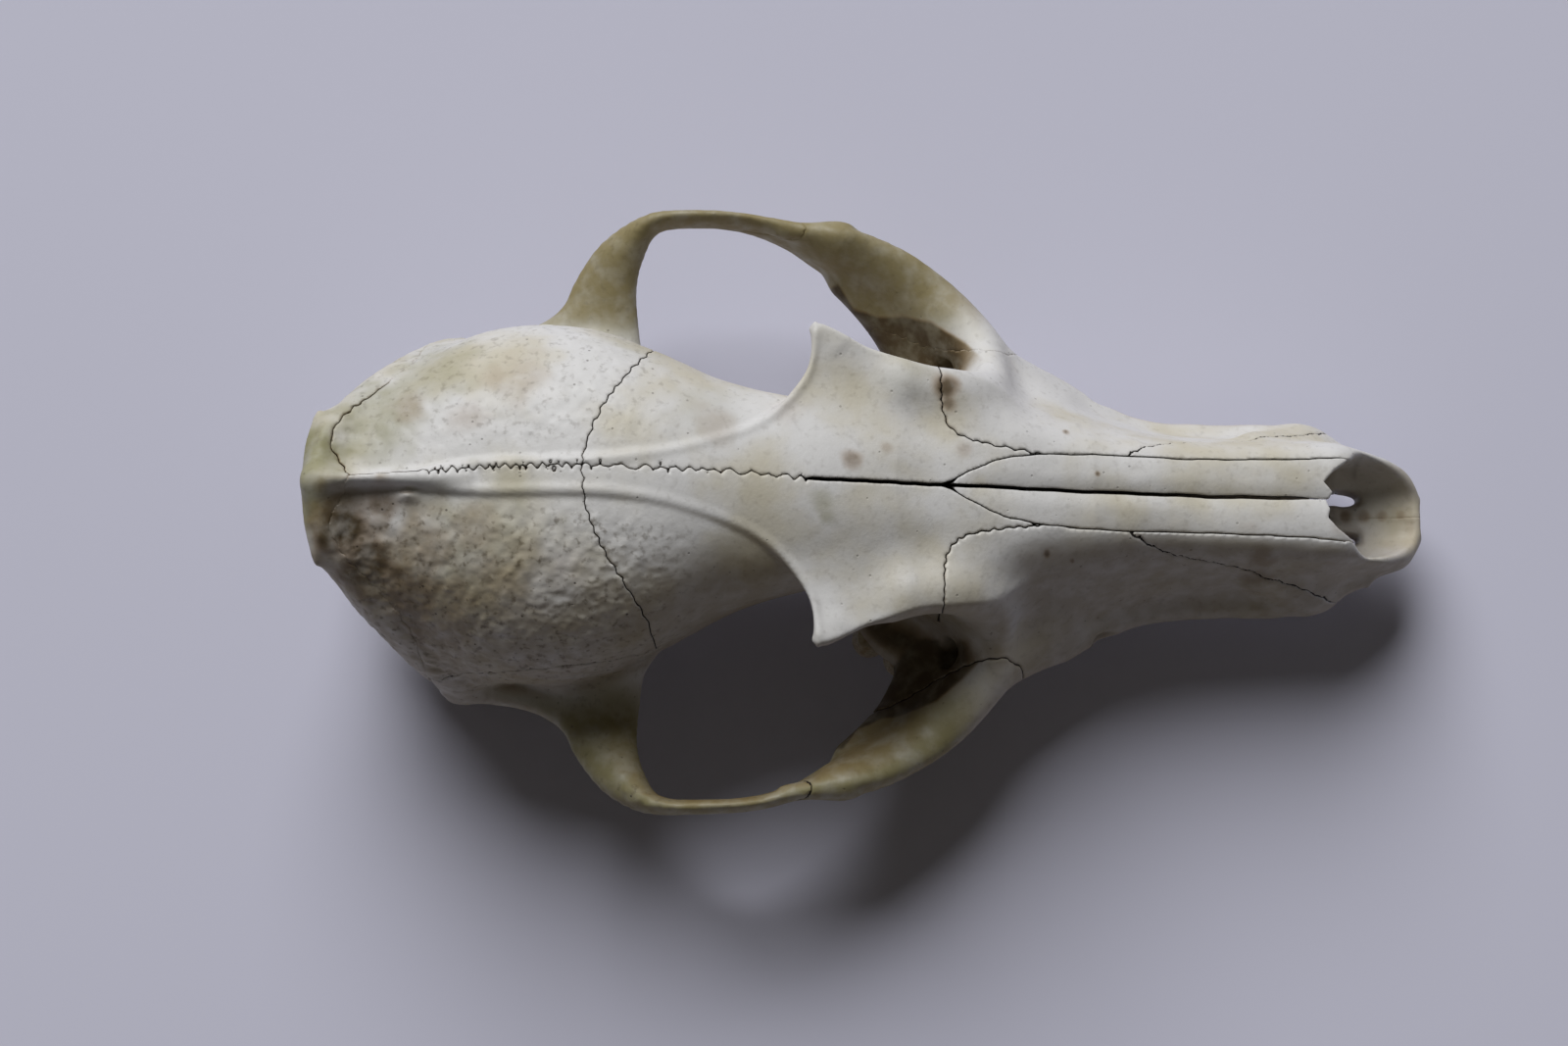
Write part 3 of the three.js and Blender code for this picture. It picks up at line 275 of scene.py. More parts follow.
nuchal_crest = sweep([
    (INION + 2.6, 0, INION_Z - 1.5, 1.2, 1.8),
    (-70.6, 4.5, 42.4, 1.1, 1.9),
    (-68.2, 9.2, 38.4, 1.1, 2.1),
    (-64.4, 14.2, 32.4, 1.1, 2.3),
    (-59.8, 19.4, 25, 1.2, 2.4),
    (-56, 22, 18.4, 1.6, 2.6),
    (-54.5, 21.6, 13, 2.6, 3),
])

# The face: a narrow muzzle that widens to the cheek teeth, with the wall between the eye sockets
# behind it and the raised rim of each socket in front.
core = loft(
    at=[-30, -22, -14, -6, 4, 12, 18, 23],
    top=[34, 38, 41, 40.6, 38.6, 36, 32.6, 28],
    low=[18, 15, 14, 14, 11, 10, 10, 12],
    wide_top=[8, 11.6, 12.2, 11.8, 12.4, 12.8, 11, 6],
    wide_low=[6, 8.6, 9, 8.4, 9.5, 12, 13, 8],
    power=3,
)
face = loft(
    at=[2, 8, 14, 20, 25, 30, 36, 42, 48],
    top=[34, 36, 35.2, 34, 32.4, 30.8, 28.4, 24, 18],
    low=[14, 10, 9.4, 9.4, 9.4, 9.4, 9.8, 11, 13],
    wide_top=[8, 11.4, 11.6, 9.8, 8, 6.6, 5, 4, 2.5],
    wide_low=[10, 18, 22, 21.4, 19.2, 15.6, 11.8, 8.2, 4],
    power=2.6,
)
muzzle = loft(
    at=[4, 10, 16, 20, 25, 30, 36, 44, 52, 57, 60, 62.5, 65, 68, 71, PROSTHION],
    top=[34, 36, 35.7, 34.7, 33.2, 32, 30.9, 29.6, 28.4, 27.6, 27, 25, 22, 18, 14.6, 12.4],
    low=[11, 9.8, 9, 9, 9, 9, 9, 9, 9, 9, 8.8, 8.6, 8.6, 8.6, 9, 10.2],
    wide_top=[10, 10.6, 9.8, 8.6, 7.8, 7.3, 7, 6.9, 7, 7.3, 7.4, 7.4, 7.4, 7, 5.6, 2.4],
    wide_low=[12, 15, 16.6, 17, 16.6, 14.4, 12.8, 12.2, 12.2, 11.7, 10.8, 9.4, 8.5, 7.7, 6.3, 3.2],
    power=5.2,
)
jaw = loft(
    at=[-6, -3.5, 0, 4, 9, 15, 20, 25, 29, 35, 44, 52, 57, 60, 62, 65],
    top=[12.6, 14.6, 15.4, 16, 16.8, 17.6, 18, 17.6, 16, 14, 13.6, 13.6, 14, 13.6, 13, 11.8],
    low=[10.4, 8.9, 8.3, 8, 8, 8.1, 8.2, 8.3, 8.4, 8.4, 8.4, 8.4, 8.2, 8.4, 8.8, 9.6],
    wide_top=[7, 13, 17.6, 20, 20.2, 19.8, 19, 18, 15.4, 12.8, 12.1, 12, 11.3, 10.4, 9, 6],
    wide_low=[8, 14, 18, 20.4, 20.6, 20, 19.4, 18.2, 15.9, 13.5, 12.8, 12.6, 11.8, 10.7, 9.2, 6],
    power=3.4,
)
canine_root = sweep([(58, 9.2, 10, 2.1, 2.1), (56, 9.1, 14, 2.1, 2.1), (50, 8.6, 18.5, 1.6, 1.6)])
orbit_rim = sweep([
    (3, 13.8, 37.2, 1.1, 1.4, 20),
    (9, 13.4, 35.2, 1.3, 1.5, 20),
    (12.8, 14.2, 31.2, 1.2, 1.5, 20),
    (14.2, 16.6, 26.2, 1.2, 1.5, 25),
    (12.6, 21.2, 21.6, 1.3, 1.7, 30),
    (7.4, 27.4, 19, 1.4, 1.7, 35),
    (1.2, 32.2, 19.8, 1.2, 1.5, 30),
    (-5, 35.2, 22, 0.8, 1, 20),
])

# The cheek arch: a slim bow of bone from the upper jaw out and back to the side of the brain case.
arch = sweep([
    (22, 13.4, 15.6, 3, 5, 0),
    (17, 17.8, 15.8, 2.8, 5.2, 18),
    (11.5, 21.9, 15.6, 2.5, 5.6, 35),
    (5, 27.9, 15.4, 1.8, 5.3, 38),
    (-2, 33.1, 17.2, 1.4, 4.7, 26),
    (-9, 36.1, 20.2, 1.1, 4.1, 12),
    (-16, 38.4, 22.2, 1, 3.4, 5),
    (-23, 39, 23.2, 1, 3, 3),
    (-29.4, 38.6, 22.8, 1.3, 2.8, 2),
    (-33.4, 35.4, 21, 2.8, 2.7, 0),
    (-35.8, 31, 19.4, 4.2, 2.3, 0),
    (-36.9, 25.5, 18, 5.4, 2.2, 0),
    (-37.2, 18, 17.4, 6.6, 3, 0),
])
cheek_edge = sweep([
    (9, 19, 13, 3, 3), (5, 23.6, 12.8, 2.8, 2.5), (1, 27.6, 13.8, 2.4, 2.3), (-4, 31.6, 16, 1.8, 2),
])
cheek_knob = ellipsoid((-9.4, 37, 24), (3.2, 0.6, 0.9))

# The skull base: the floor of the brain case, the joints for the neck, the pegs and ridges round the
# ear, and the two thin plates behind the palate.
base = loft(
    at=[-67, -62, -50, -40, -30, -20, -8, 2, 6],
    top=[20, 24, 24, 24, 24, 24, 22, 20, 18],
    low=[14, 10, 8.8, 9.4, 11.6, 13, 13.4, 12, 13],
    wide_top=[7, 14, 15, 13, 11, 10, 9, 9, 7],
    wide_low=[6, 10, 10, 9, 8, 7, 7, 8, 7],
    power=3,
)
condyle = ellipsoid((-66.4, 8.2, 15), (4.6, 4.2, 6))
ear_peg = sweep([(-61.8, 15, 14, 3.2, 3.2), (-61.8, 16, 8.5, 2.2, 2.2), (-61.4, 16.4, 4.6, 1.3, 1.3)])
jaw_stop = sweep([(-40.6, 17, 12.6, 1.7, 3), (-40.8, 22, 11.8, 1.6, 3), (-40, 27, 13.6, 1.4, 2.2)])
ear_ridge = sweep([(-39, 27, 17.6, 1.6, 1.6), (-46, 24.2, 17, 1.5, 1.5), (-54, 22.6, 16, 1.6, 1.6)])
throat_plate = sweep([
    (4, 7.6, 12, 1.8, 3.4),
    (-5, 6.6, 12.2, 1.2, 4.4),
    (-14, 5.8, 12.2, 0.9, 4.6),
    (-21, 5.4, 11.8, 0.8, 4.6),
    (-26, 5.6, 8.4, 0.8, 2),
])

# The openings: the nose with its two slits in the palate, the throat, the empty canine sockets, the
# holes for nerves, and the great hole for the spinal cord.
nasal_passage = loft(
    at=[6, 12, 20, 30, 40, 50, 63],
    top=[33, 34, 33, 30.4, 28.5, 27, 25],
    low=[25, 21, 17, 15, 14, 13.2, 12.6],
    wide_top=[2, 3.4, 4.3, 4.6, 4.8, 5.2, 5.9],
    wide_low=[2.4, 4.4, 5.6, 5.8, 5.8, 6.1, 6.6],
    power=2.6,
)
nasal_mouth = loft(
    at=[59.6, 61.4, 63, 65, 68, 71, 74],
    top=[30, 40, 40, 40, 40, 40, 40],
    low=[20, 14, 12.4, 12.2, 12.2, 12.6, 13.4],
    wide_top=[2, 3, 6, 6.3, 5.8, 4.6, 2.4],
    wide_low=[2, 6.4, 6.6, 6.5, 5.8, 4.6, 2.4],
    power=4,
)
palate_slit = ellipsoid((60.9, 2.8, 10), (3.4, 1.05, 6))
canine_socket = sweep([(58.4, 10.2, 5, 2.2, 2.2), (57.6, 9.8, 11, 2, 2), (55.8, 9.4, 15, 1.4, 1.4)])
cheek_canal = sweep([
    (31.5, 16.4, 11.8, 0.8, 1.2), (28, 15.2, 12.6, 1.1, 1.6), (24, 15, 14, 1.3, 1.7), (17, 16.4, 16.6, 1.5, 1.7),
    (9.5, 18.8, 18.4, 2, 2),
])
incisor_sockets = [
    ellipsoid((71, 1.4, 8.6), (1.2, 0.85, 2.6)), ellipsoid((69.5, 3.6, 8.4), (1.2, 0.9, 2.6)),
    ellipsoid((67, 5.5, 8.4), (1.3, 1, 2.6)),
]
throat = loft(
    at=[-40, -24, -10, 0, 8],
    top=[8, 12.6, 14.4, 15, 14.6],
    low=[-4, -4, -4, -2, 11],
    wide_top=[4, 4.3, 4.6, 5, 4],
    wide_low=[4, 4.4, 5, 5.8, 4.4],
    power=4,
)
palate = ellipsoid((26, 0, 7.4), (33, 12.4, 2.9))
great_hole = ellipsoid((-66, 0, 20), (22, 6.8, 5.6))
ear_hole = sweep([(-46.5, 28, 13.2, 2.3, 2.3), (-46.5, 16, 12.4, 2.1, 2.1)])
optic_hole = ellipsoid((-12, 8.6, 20.5), (2.2, 4, 1.8))
EAR_CAPSULE = ((-47.5, 13, 8.2), (11.4, 7.4, 8.2))
capsule = ellipsoid(*EAR_CAPSULE)
CAPSULE_GAP = 0.3

JOINED = [
    (base, 3), (core, 5), (shield, 1), (face, 5), (muzzle, 4), (jaw, 3), (arch, 4), (cheek_edge, 2.5),
    (cheek_knob, 2), (orbit_rim, 6.5), (canine_root, 3), (sagittal_crest, 1.3), (temple_line, 1), (nape, 4), (nape_ridge, 3),
    (nuchal_crest, 5), (condyle, 2), (ear_peg, 2), (jaw_stop, 1.5), (ear_ridge, 2), (throat_plate, 1.5),
    (process_tip, 1.5),
]
CARVED = [
    (throat, 1), (palate, 2), (nasal_passage, 0.6), (palate_slit, 0.8), (canine_socket, 0.8), (cheek_canal, 0.8),
    (great_hole, 1.5), (ear_hole, 1), (optic_hole, 0.8), *[(socket, 0.5) for socket in incisor_sockets],
]
NOSE_OPENING = [(nasal_mouth, 1.2)]


def near(form, reach, x, y, z):
    """The places in a list that lie within reach of a form's box."""
    hit = np.ones(x.shape, bool)
    for p, low, high in zip((x, y, z), form.low, form.high):
        hit &= (p > low - reach) & (p < high + reach)
    return np.flatnonzero(hit)


def skull(x, y, z, openings=NOSE_OPENING):
    """The whole head: below zero inside the bone, about in millimetres."""
    y = np.abs(y)
    d = vault.field(x, y, z)
    for form, fillet in JOINED:
        at = near(form, fillet + 3, x, y, z)
        if at.size:
            d[at] = blend(d[at], form.field(x[at], y[at], z[at]), fillet)
    for form, fillet in CARVED + openings:
        at = near(form, fillet + 2, x, y, z)
        if at.size:
            d[at] = -blend(-d[at], form.field(x[at], y[at], z[at]), fillet)
    at = near(capsule, 2, x, y, z)
    if at.size:
        d[at] = np.maximum(d[at], CAPSULE_GAP - capsule.field(x[at], y[at], z[at]))
    return d

# Dry bone, bleached by sun and weather: matt, off-white, with a fine open grain and tiny pores. Soil
# leaves brown in the hollows, algae leave an olive bloom, and each suture holds a thread of dark dirt.
# The same brown and olive are also used as painted shade, where the bone lies in shadow or faces away from the
# light.
BONE_PALE = "#d2d0ce"
BONE_WARM = "#c3bcaa"
BONE_OLIVE = "#87835a"
BONE_TAN = "#8c6a3c"
BONE_BROWN = "#4a3a1e"
PORE_DARK = "#3a2f20"
SEAM_DARK = "#1d1813"
CLOUD_SIZE = 11
MOTTLE_SIZE = 2.4
FLECK_SIZE = 0.9
PORE_SPACING = 1.6
GRAIN_SIZE = 0.5
SEAM_HALF = 0.065


def per_metre(size):
    """The texture scale that gives features of a size in millimetres on Object coordinates."""
    return 1 / (size * MM)


bone_stuff, tree, shader = blank_material("bleached_bone")
here = node(tree, "ShaderNodeTexCoord").outputs["Object"]
tint = node(tree, "ShaderNodeAttribute", attribute_name="tint").outputs["Color"]
soil_and_shade, bloom_and_shade, rough = node(tree, "ShaderNodeSeparateColor", {"Color": tint}).outputs
seam = node(tree, "ShaderNodeAttribute", attribute_name="seam").outputs["Fac"]
cloud, mottle, fleck, grain = [
    node(tree, "ShaderNodeTexNoise", {"Vector": here, "Scale": per_metre(size), "Detail": detail}).outputs["Fac"]
    for size, detail in ((CLOUD_SIZE, 3.0), (MOTTLE_SIZE, 5.0), (FLECK_SIZE, 3.0), (GRAIN_SIZE, 3.0))
]
cells = node(tree, "ShaderNodeTexVoronoi", {"Vector": here, "Scale": per_metre(PORE_SPACING)})
cell_pick = node(tree, "ShaderNodeSeparateColor", {"Color": cells.outputs["Color"]}).outputs[0]
RANGES = (
    (cloud, 0.4, 0.72, 0.0, 1.0),
    (mottle, 0.25, 0.65, 0.7, 1.0),
    (mottle, 0.28, 0.62, 0.68, 1.0),
    (fleck, 0.52, 0.74, 0.0, 0.6),
    (cells.outputs["Distance"], 0.13, 0.07, 0.0, 1.0),
    (cell_pick, 0.55, 0.75, 0.0, 1.0),
    (rough, 0.0, 1.0, 0.25, 0.8),
    (seam, SEAM_HALF * 1.3, SEAM_HALF * 0.5, 0.0, 1.0),
    (mottle, 0.3, 0.7, 0.5, 0.68),
)
warm_share, bloom_part, soil_part, fleck_part, pore_round, pore_kept, pore_part, seam_share, gloss = [
    node(tree, "ShaderNodeMapRange", {
        "Value": value, "From Min": low, "From Max": high, "To Min": to_low, "To Max": to_high,
    }, interpolation_type="SMOOTHSTEP").outputs["Result"]
    for value, low, high, to_low, to_high in RANGES
]
pore, bloom_and_shade_share, soil_and_shade_share, fleck_share = [
    node(tree, "ShaderNodeMath", {0: a, 1: b}, operation="MULTIPLY").outputs[0]
    for a, b in ((pore_round, pore_kept), (bloom_and_shade, bloom_part), (soil_and_shade, soil_part), (rough, fleck_part))
]
pore_share = node(tree, "ShaderNodeMath", {0: pore, 1: pore_part}, operation="MULTIPLY").outputs[0]
# The soil share holds painted shade as well as soil, and both get the same tan and brown.
thick_soil_and_shade = node(tree, "ShaderNodeMath", {0: soil_and_shade, 1: soil_and_shade}, operation="MULTIPLY").outputs[0]
soil_and_shade_tone = node(tree, "ShaderNodeMix", {
    0: thick_soil_and_shade, 6: linear(BONE_TAN), 7: linear(BONE_BROWN),
}, data_type="RGBA").outputs[2]
colour = linear(BONE_PALE)
for over, share in (
    (linear(BONE_WARM), warm_share), (linear(BONE_OLIVE), bloom_and_shade_share), (soil_and_shade_tone, soil_and_shade_share),
    (linear(BONE_BROWN), fleck_share), (linear(PORE_DARK), pore_share), (linear(SEAM_DARK), seam_share),
):
    colour = node(tree, "ShaderNodeMix", {0: share, 6: colour, 7: over}, data_type="RGBA").outputs[2]
tree.links.new(colour, shader.inputs["Base Color"])
shader.inputs["IOR"].default_value = 1.5
tree.links.new(gloss, shader.inputs["Roughness"])
grain_bump = node(tree, "ShaderNodeBump", {"Height": grain, "Strength": 0.4, "Distance": 0.07 * MM})
pore_bump = node(tree, "ShaderNodeBump", {
    "Height": pore, "Strength": 0.5, "Distance": 0.1 * MM, "Normal": grain_bump.outputs["Normal"],
}, invert=True)
tree.links.new(pore_bump.outputs["Normal"], shader.inputs["Normal"])

# The sutures: the wavy seams where the bones of the head meet. Each is drawn through a few places in
# plan, or from the side, and swayed from side to side. The one along the crown runs in tight loops.
LAMBDA, BREGMA_SPOT, NASION_SPOT = (-66.5, 0.3), (BREGMA, 1.2), (NASION, 0)
NASAL_CORNER = (20.6, 4.6)
FAR, OUT = 120, 60
draw = np.random.RandomState(7)


def stitched(points, sway=0.0, pitch=2.0, loop=0.0):
    """A line through points, swayed by an uneven wave. A loop share bends the waves into loops."""
    points = np.array(points, float)
    run = np.r_[0, np.cumsum(np.hypot(*np.diff(points, axis=0).T))]
    s = np.linspace(0, run[-1], max(int(run[-1] / 0.08), 2))
    line = np.stack([curve(run, points[:, c])(s) for c in (0, 1)], 1)
    if sway:
        knots = np.arange(0, run[-1] + 2 * pitch, pitch)
        phase = np.interp(s, knots, 2 * np.pi * np.cumsum(draw.uniform(0.55, 1.45, knots.size)))
        swing = np.interp(s, knots, draw.uniform(0.3, 1, knots.size)) * sway
        swing = swing * np.clip(np.minimum(s, run[-1] - s) / 0.7, 0, 1)
        go = np.gradient(line, axis=0)
        go /= np.maximum(np.hypot(*go.T), 1e-9)[:, None]
        aside = np.stack([-go[:, 1], go[:, 0]], 1)
        out = (np.sin(phase) + 0.3 * np.sin(2.7 * phase + 1)) * swing
        along = np.sin(2 * phase) * loop * swing
        line = line + aside * out[:, None] + go * along[:, None]
    return line


def each_side(points, **wave):
    """The same suture on the left and on the right, each with waves of its own."""
    across = [(x, -y if i else y) for i, (x, y) in enumerate(points)]
    return {1: stitched(points, **wave), -1: stitched(across, **wave)}


crown_line = np.concatenate([
    stitched([LAMBDA, (CREST_FORK - 1, 0.6)], 0.1, 2.5),
    stitched([(CREST_FORK - 1, 0.6), (-52, 1), (-45, 1.2), BREGMA_SPOT], 0.75, 1.15, 0.55),
])
brow_line = np.concatenate([
    stitched([BREGMA_SPOT, (-30, 0.9), (-20, 0.7), (-9.5, 0)], 0.75, 2, 0.6),
    stitched([(-9.5, 0), NASION_SPOT], 0.04, 4),
])
nose_line = stitched([NASION_SPOT, (80, 0)], 0.05, 9)
lambdoid = each_side([
    LAMBDA, (-67.9, 2.4), (-69.2, 5), (-68, 8.4), (-63, 13.4), (-59.4, 18.4), (-58.5, 27),
], sway=0.22, pitch=2.2)
coronal = each_side([
    BREGMA_SPOT, (-37, 4), (-35, 9), (-31.8, 14), (-29.4, 18), (-28, 26),
], sway=0.2, pitch=1.9)
frontonasal = each_side([NASION_SPOT, (11, 1.8), (15, 3.6), (18.5, 4.3), NASAL_CORNER], sway=0.06, pitch=3)
corner = {side: (NASAL_CORNER[0], side * NASAL_CORNER[1]) for side in (1, -1)}
frontomaxillary = {side: stitched([corner[side]] + [
    (x, side * y) for x, y in ((14, 5.5), (9.8, 6.7), (8, 9), (7.6, 14), (7.2, 24))
], 0.2, 1.5, 0.2) for side in (1, -1)}
nasomaxillary = {side: stitched([corner[side]] + [
    (x, side * y) for x, y in ((30, 4.9), (40, 4.8), (50, 5), (56, 5.2), (60, 5.5), (66, 5.9))
], 0.05, 7) for side in (1, -1)}
zygomatic = {side: stitched([
    (x, side * y) for x, y in (
        (19.4, 32), (19.2, 22.6), (17.4, 20.5), (13, 20.5), (8, 22), (2, 25), (-3, 26.4), (-9, 26.6))
], 0.15, 2.2) for side in (1, -1)}
palate_back = each_side([(7.4, 0), (7.2, 7.6), (2, 9.2), (-6, 9.8), (-10, 10.6)], sway=0.15, pitch=2.5)
ear_region = {side: stitched([
    (x, side * y) for x, y in ((-59.1, 10.5), (-32, 10.5), (-24.6, 12), (-22, 16), (-21.6, 27))
], 0.15, 3) for side in (1, -1)}
squamous = stitched([
    (-59, 24), (-52, 28.5), (-46, 33), (-40, 34), (-34, 32.5), (-28, 28.5), (-21, 23), (-12, 22), (8, 22),
], 0.12, 3)
incisive = stitched([
    (62.4, -9), (61.8, 9), (60, 13), (55, 18), (46, 23.5), (38, 27.5), (31, 32.4),
], 0.15, 3)
temporal_tip = stitched([(-6.6, 32), (-10.6, 24), (-21, 20.4), (-29, 14)], 0.1, 3)
NASAL_FRONT = {
    1: [(60.9, 5.9), (60.9, 5.2), (58.9, 3.7), (57.6, 2.2), (58.7, 0.9), (58.2, 0)],
    -1: [(61.7, -6), (61.7, -5.5), (59.3, -3.9), (58, -2.5), (58.3, -1.4), (57.8, 0)],
}


def outlined(points, u, v, reach=3.0):
    """Distance on the grid u by v to a closed outline, below zero inside, up to a reach."""
    away = np.full((u.size, v.size), reach, np.float32)
    within = np.zeros(away.shape, bool)
    for (au, av), (bu, bv) in zip(points, np.roll(points, -1, axis=0)):
        du, dv = bu - au, bv - av
        if du == 0 and dv == 0:
            continue
        i0, i1 = np.searchsorted(u, (min(au, bu) - reach, max(au, bu) + reach))
        j0, j1 = np.searchsorted(v, (min(av, bv) - reach, max(av, bv) + reach))
        if i0 < i1 and j0 < j1:
            pu = u[i0:i1, None] - au
            pv = v[None, j0:j1] - av
            t = np.clip((pu * du + pv * dv) / (du * du + dv * dv), 0, 1)
            spot = away[i0:i1, j0:j1]
            np.minimum(spot, np.hypot(pu - t * du, pv - t * dv), out=spot)
        if dv:
            j0, j1 = np.searchsorted(v, (min(av, bv), max(av, bv)))
            within[:, j0:j1] ^= u[:, None] < au + (v[None, j0:j1] - av) * du / dv
    return np.where(within, -away, away)


def plan(x, y, *lines):
    return outlined(np.concatenate([np.reshape(line, (-1, 2)) for line in lines]), x, y)[:, :, None]


def profile(x, z, *lines):
    return outlined(np.concatenate([np.reshape(line, (-1, 2)) for line in lines]), x, z)[:, None, :]


def within_all(*fields):
    """Where all the regions hold."""
    joined = fields[0]
    for field in fields[1:]:
        joined = np.maximum(joined, field)
    return joined


NAPE_X, NAPE_Z, PALATE_JOIN_X, ROOF_HALF = -58.5, 24, -8.5, 25.6
NASAL_FLOOR_Z, BROW_Z, NASAL_STEP_X = 19, 22, 21.4
ORBIT_FLOOR_Z, ORBIT_WALL_X, ORBIT_WALL_Y = 16.5, 1.5, 17


def occipital_region(x, y, z, side=0):
    corners = [(NAPE_X, OUT), (-FAR, OUT), (-FAR, -OUT), (NAPE_X, -OUT)]
    behind = plan(x, y, lambdoid[1], corners, lambdoid[-1][::-1])
    return np.minimum(behind, within_all(x[:, None, None] - NAPE_X, z[None, None, :] - NAPE_Z))


def roof_region(x, y, z):
    brow = plan(
        x, y, frontonasal[1], frontomaxillary[1], [(7.2, OUT), (-FAR, OUT), (-FAR, -OUT), (7.2, -OUT)],
        frontomaxillary[-1][::-1], frontonasal[-1][::-1],
    )
    above = profile(x, z, squamous, [(FAR, BROW_Z), (FAR, FAR), (-FAR, FAR), (-FAR, NAPE_Z)])
    narrow = np.abs(y[None, :, None]) - ROOF_HALF
    return within_all(brow, above, narrow, -occipital_region(x, y, z))


def parietal_region(x, y, z, side):
    top = plan(
        x, y, crown_line, coronal[side], [(-28, OUT * side), (NAPE_X, OUT * side)], lambdoid[side][::-1],
    )
    return within_all(top, roof_region(x, y, z))


def frontal_region(x, y, z, side):
    top = plan(
        x, y, brow_line, frontonasal[side], frontomaxillary[side], [(7.2, OUT * side), (-28, OUT * side)],
        coronal[side][::-1],
    )
    return within_all(top, roof_region(x, y, z))


def nasal_column(x, y, z, side):
    """The nasal bone's place, on past its front edge."""
    top = plan(x, y, nose_line, nasomaxillary[side][::-1], frontonasal[side][::-1])
    floor = np.where(x < NASAL_STEP_X, BROW_Z, NASAL_FLOOR_Z)[:, None, None] - z[None, None, :]
    return within_all(top, floor)


def nasal_region(x, y, z, side):
    front = plan(x, y, [(0, OUT * side), (NASAL_FRONT[side][0][0], OUT * side)], NASAL_FRONT[side],
                 [(NASAL_FRONT[side][-1][0], -OUT * side), (0, -OUT * side)])
    return within_all(nasal_column(x, y, z, side), front)


def half_head(x, y, side):
    return plan(x, y, [(-FAR, 0)], nose_line, [(FAR, 0), (FAR, OUT * side), (-FAR, OUT * side)])


def ahead_of_incisive(x, z):
    return profile(x, z, incisive, [(31, FAR), (FAR, FAR), (FAR, -FAR), (62.4, -FAR)])


def palatine_region(x, y, z, side=0):
    inner = plan(x, y, palate_back[1], [(-FAR, 10.6), (-FAR, -10.6)], palate_back[-1][::-1])
    wall = within_all(
        np.abs(y[None, :, None]) - ORBIT_WALL_Y, x[:, None, None] - ORBIT_WALL_X, ORBIT_FLOOR_Z - z[None, None, :],
    )
    return within_all(np.minimum(inner, wall), PALATE_JOIN_X - x[:, None, None], -roof_region(x, y, z))


def jugal_region(x, y, z, side):
    outer = plan(x, y, zygomatic[side], [(-FAR, 26.6 * side), (-FAR, 80 * side), (19.4, 80 * side)])
    front = profile(x, z, [(-6.6, FAR)], temporal_tip, [(-29, -FAR), (FAR, -FAR), (FAR, FAR)])
    return within_all(outer, front)


def premaxilla_region(x, y, z, side):
    return within_all(half_head(x, y, side), ahead_of_incisive(x, z), -nasal_column(x, y, z, side))


def maxilla_region(x, y, z, side):
    return within_all(
        half_head(x, y, side), -ahead_of_incisive(x, z), -nasal_column(x, y, z, side),
        -roof_region(x, y, z), -palatine_region(x, y, z), -jugal_region(x, y, z, side),
        PALATE_JOIN_X - x[:, None, None],
    )


def temporal_region(x, y, z, side):
    outer = plan(
        x, y, ear_region[side], [(-6, 27 * side), (-6, 80 * side), (-FAR, 80 * side), (-FAR, 10.5 * side)],
    )
    return within_all(outer, -roof_region(x, y, z), -occipital_region(x, y, z), -jugal_region(x, y, z, side))


def basicranium_region(x, y, z, side=0):
    return within_all(
        x[:, None, None] - PALATE_JOIN_X, -roof_region(x, y, z), -occipital_region(x, y, z),
        -temporal_region(x, y, z, 1), -temporal_region(x, y, z, -1),
        np.abs(y[None, :, None]) - ROOF_HALF,
    )


# Relief, stains and painted shade of the bone. Where the chewing muscle was rooted, on the sides of the brain
# case, the bone is rough, more so on the right. The brow and the nose are smooth.
lattice = draw.uniform(-1, 1, (32, 32, 32)).astype(np.float32)


def lumps(x, y, z, size, shift=0.0):
    """Smooth noise from -1 to 1 with lumps of the given size in millimetres."""
    value = 0
    cells, weights = [], []
    for p in (x, y, z):
        u = p / size + shift
        i = np.floor(u).astype(np.int32)
        t = u - i
        cells.append((i & 31, (i + 1) & 31))
        weights.append((1 - t * t * (3 - 2 * t), t * t * (3 - 2 * t)))
    for i, a in zip(cells[0], weights[0]):
        for j, b in zip(cells[1], weights[1]):
            for k, c in zip(cells[2], weights[2]):
                value = value + lattice[i, j, k] * a * b * c
    return value


def ramp(value, low, high):
    t = np.clip((value - low) / (high - low), 0, 1)
    return t * t * (3 - 2 * t)


def muscle_field(x, y, z):
    """One where the chewing muscle was rooted, zero elsewhere."""
    beside = ramp(np.abs(y) - shield_half(x), 0.8, 4)
    return beside * ramp(x, -72, -66) * ramp(-x, 20, 36) * ramp(z, 18, 26)


def relief(x, y, z):
    rough = muscle_field(x, y, z) * (1 - 0.5 * ramp(y, -2, 2))
    slant = x + 0.25 * np.abs(y)
    ripple = lumps(slant, y / 1.3, z / 1.3, 1.05, 3.7) + 0.7 * lumps(x, y, z, 0.6, 7.7)
    smooth = 0.06 * lumps(x, y, z, 4.3) + 0.02 * lumps(x, y, z, 1.4, 9.1)
    flake = np.exp(-((x + 59.4) / 1.5) ** 2 - ((y + 2.3) / 0.7) ** 2)
    return 0.06 + smooth + 0.12 * rough * ripple - 0.8 * flake


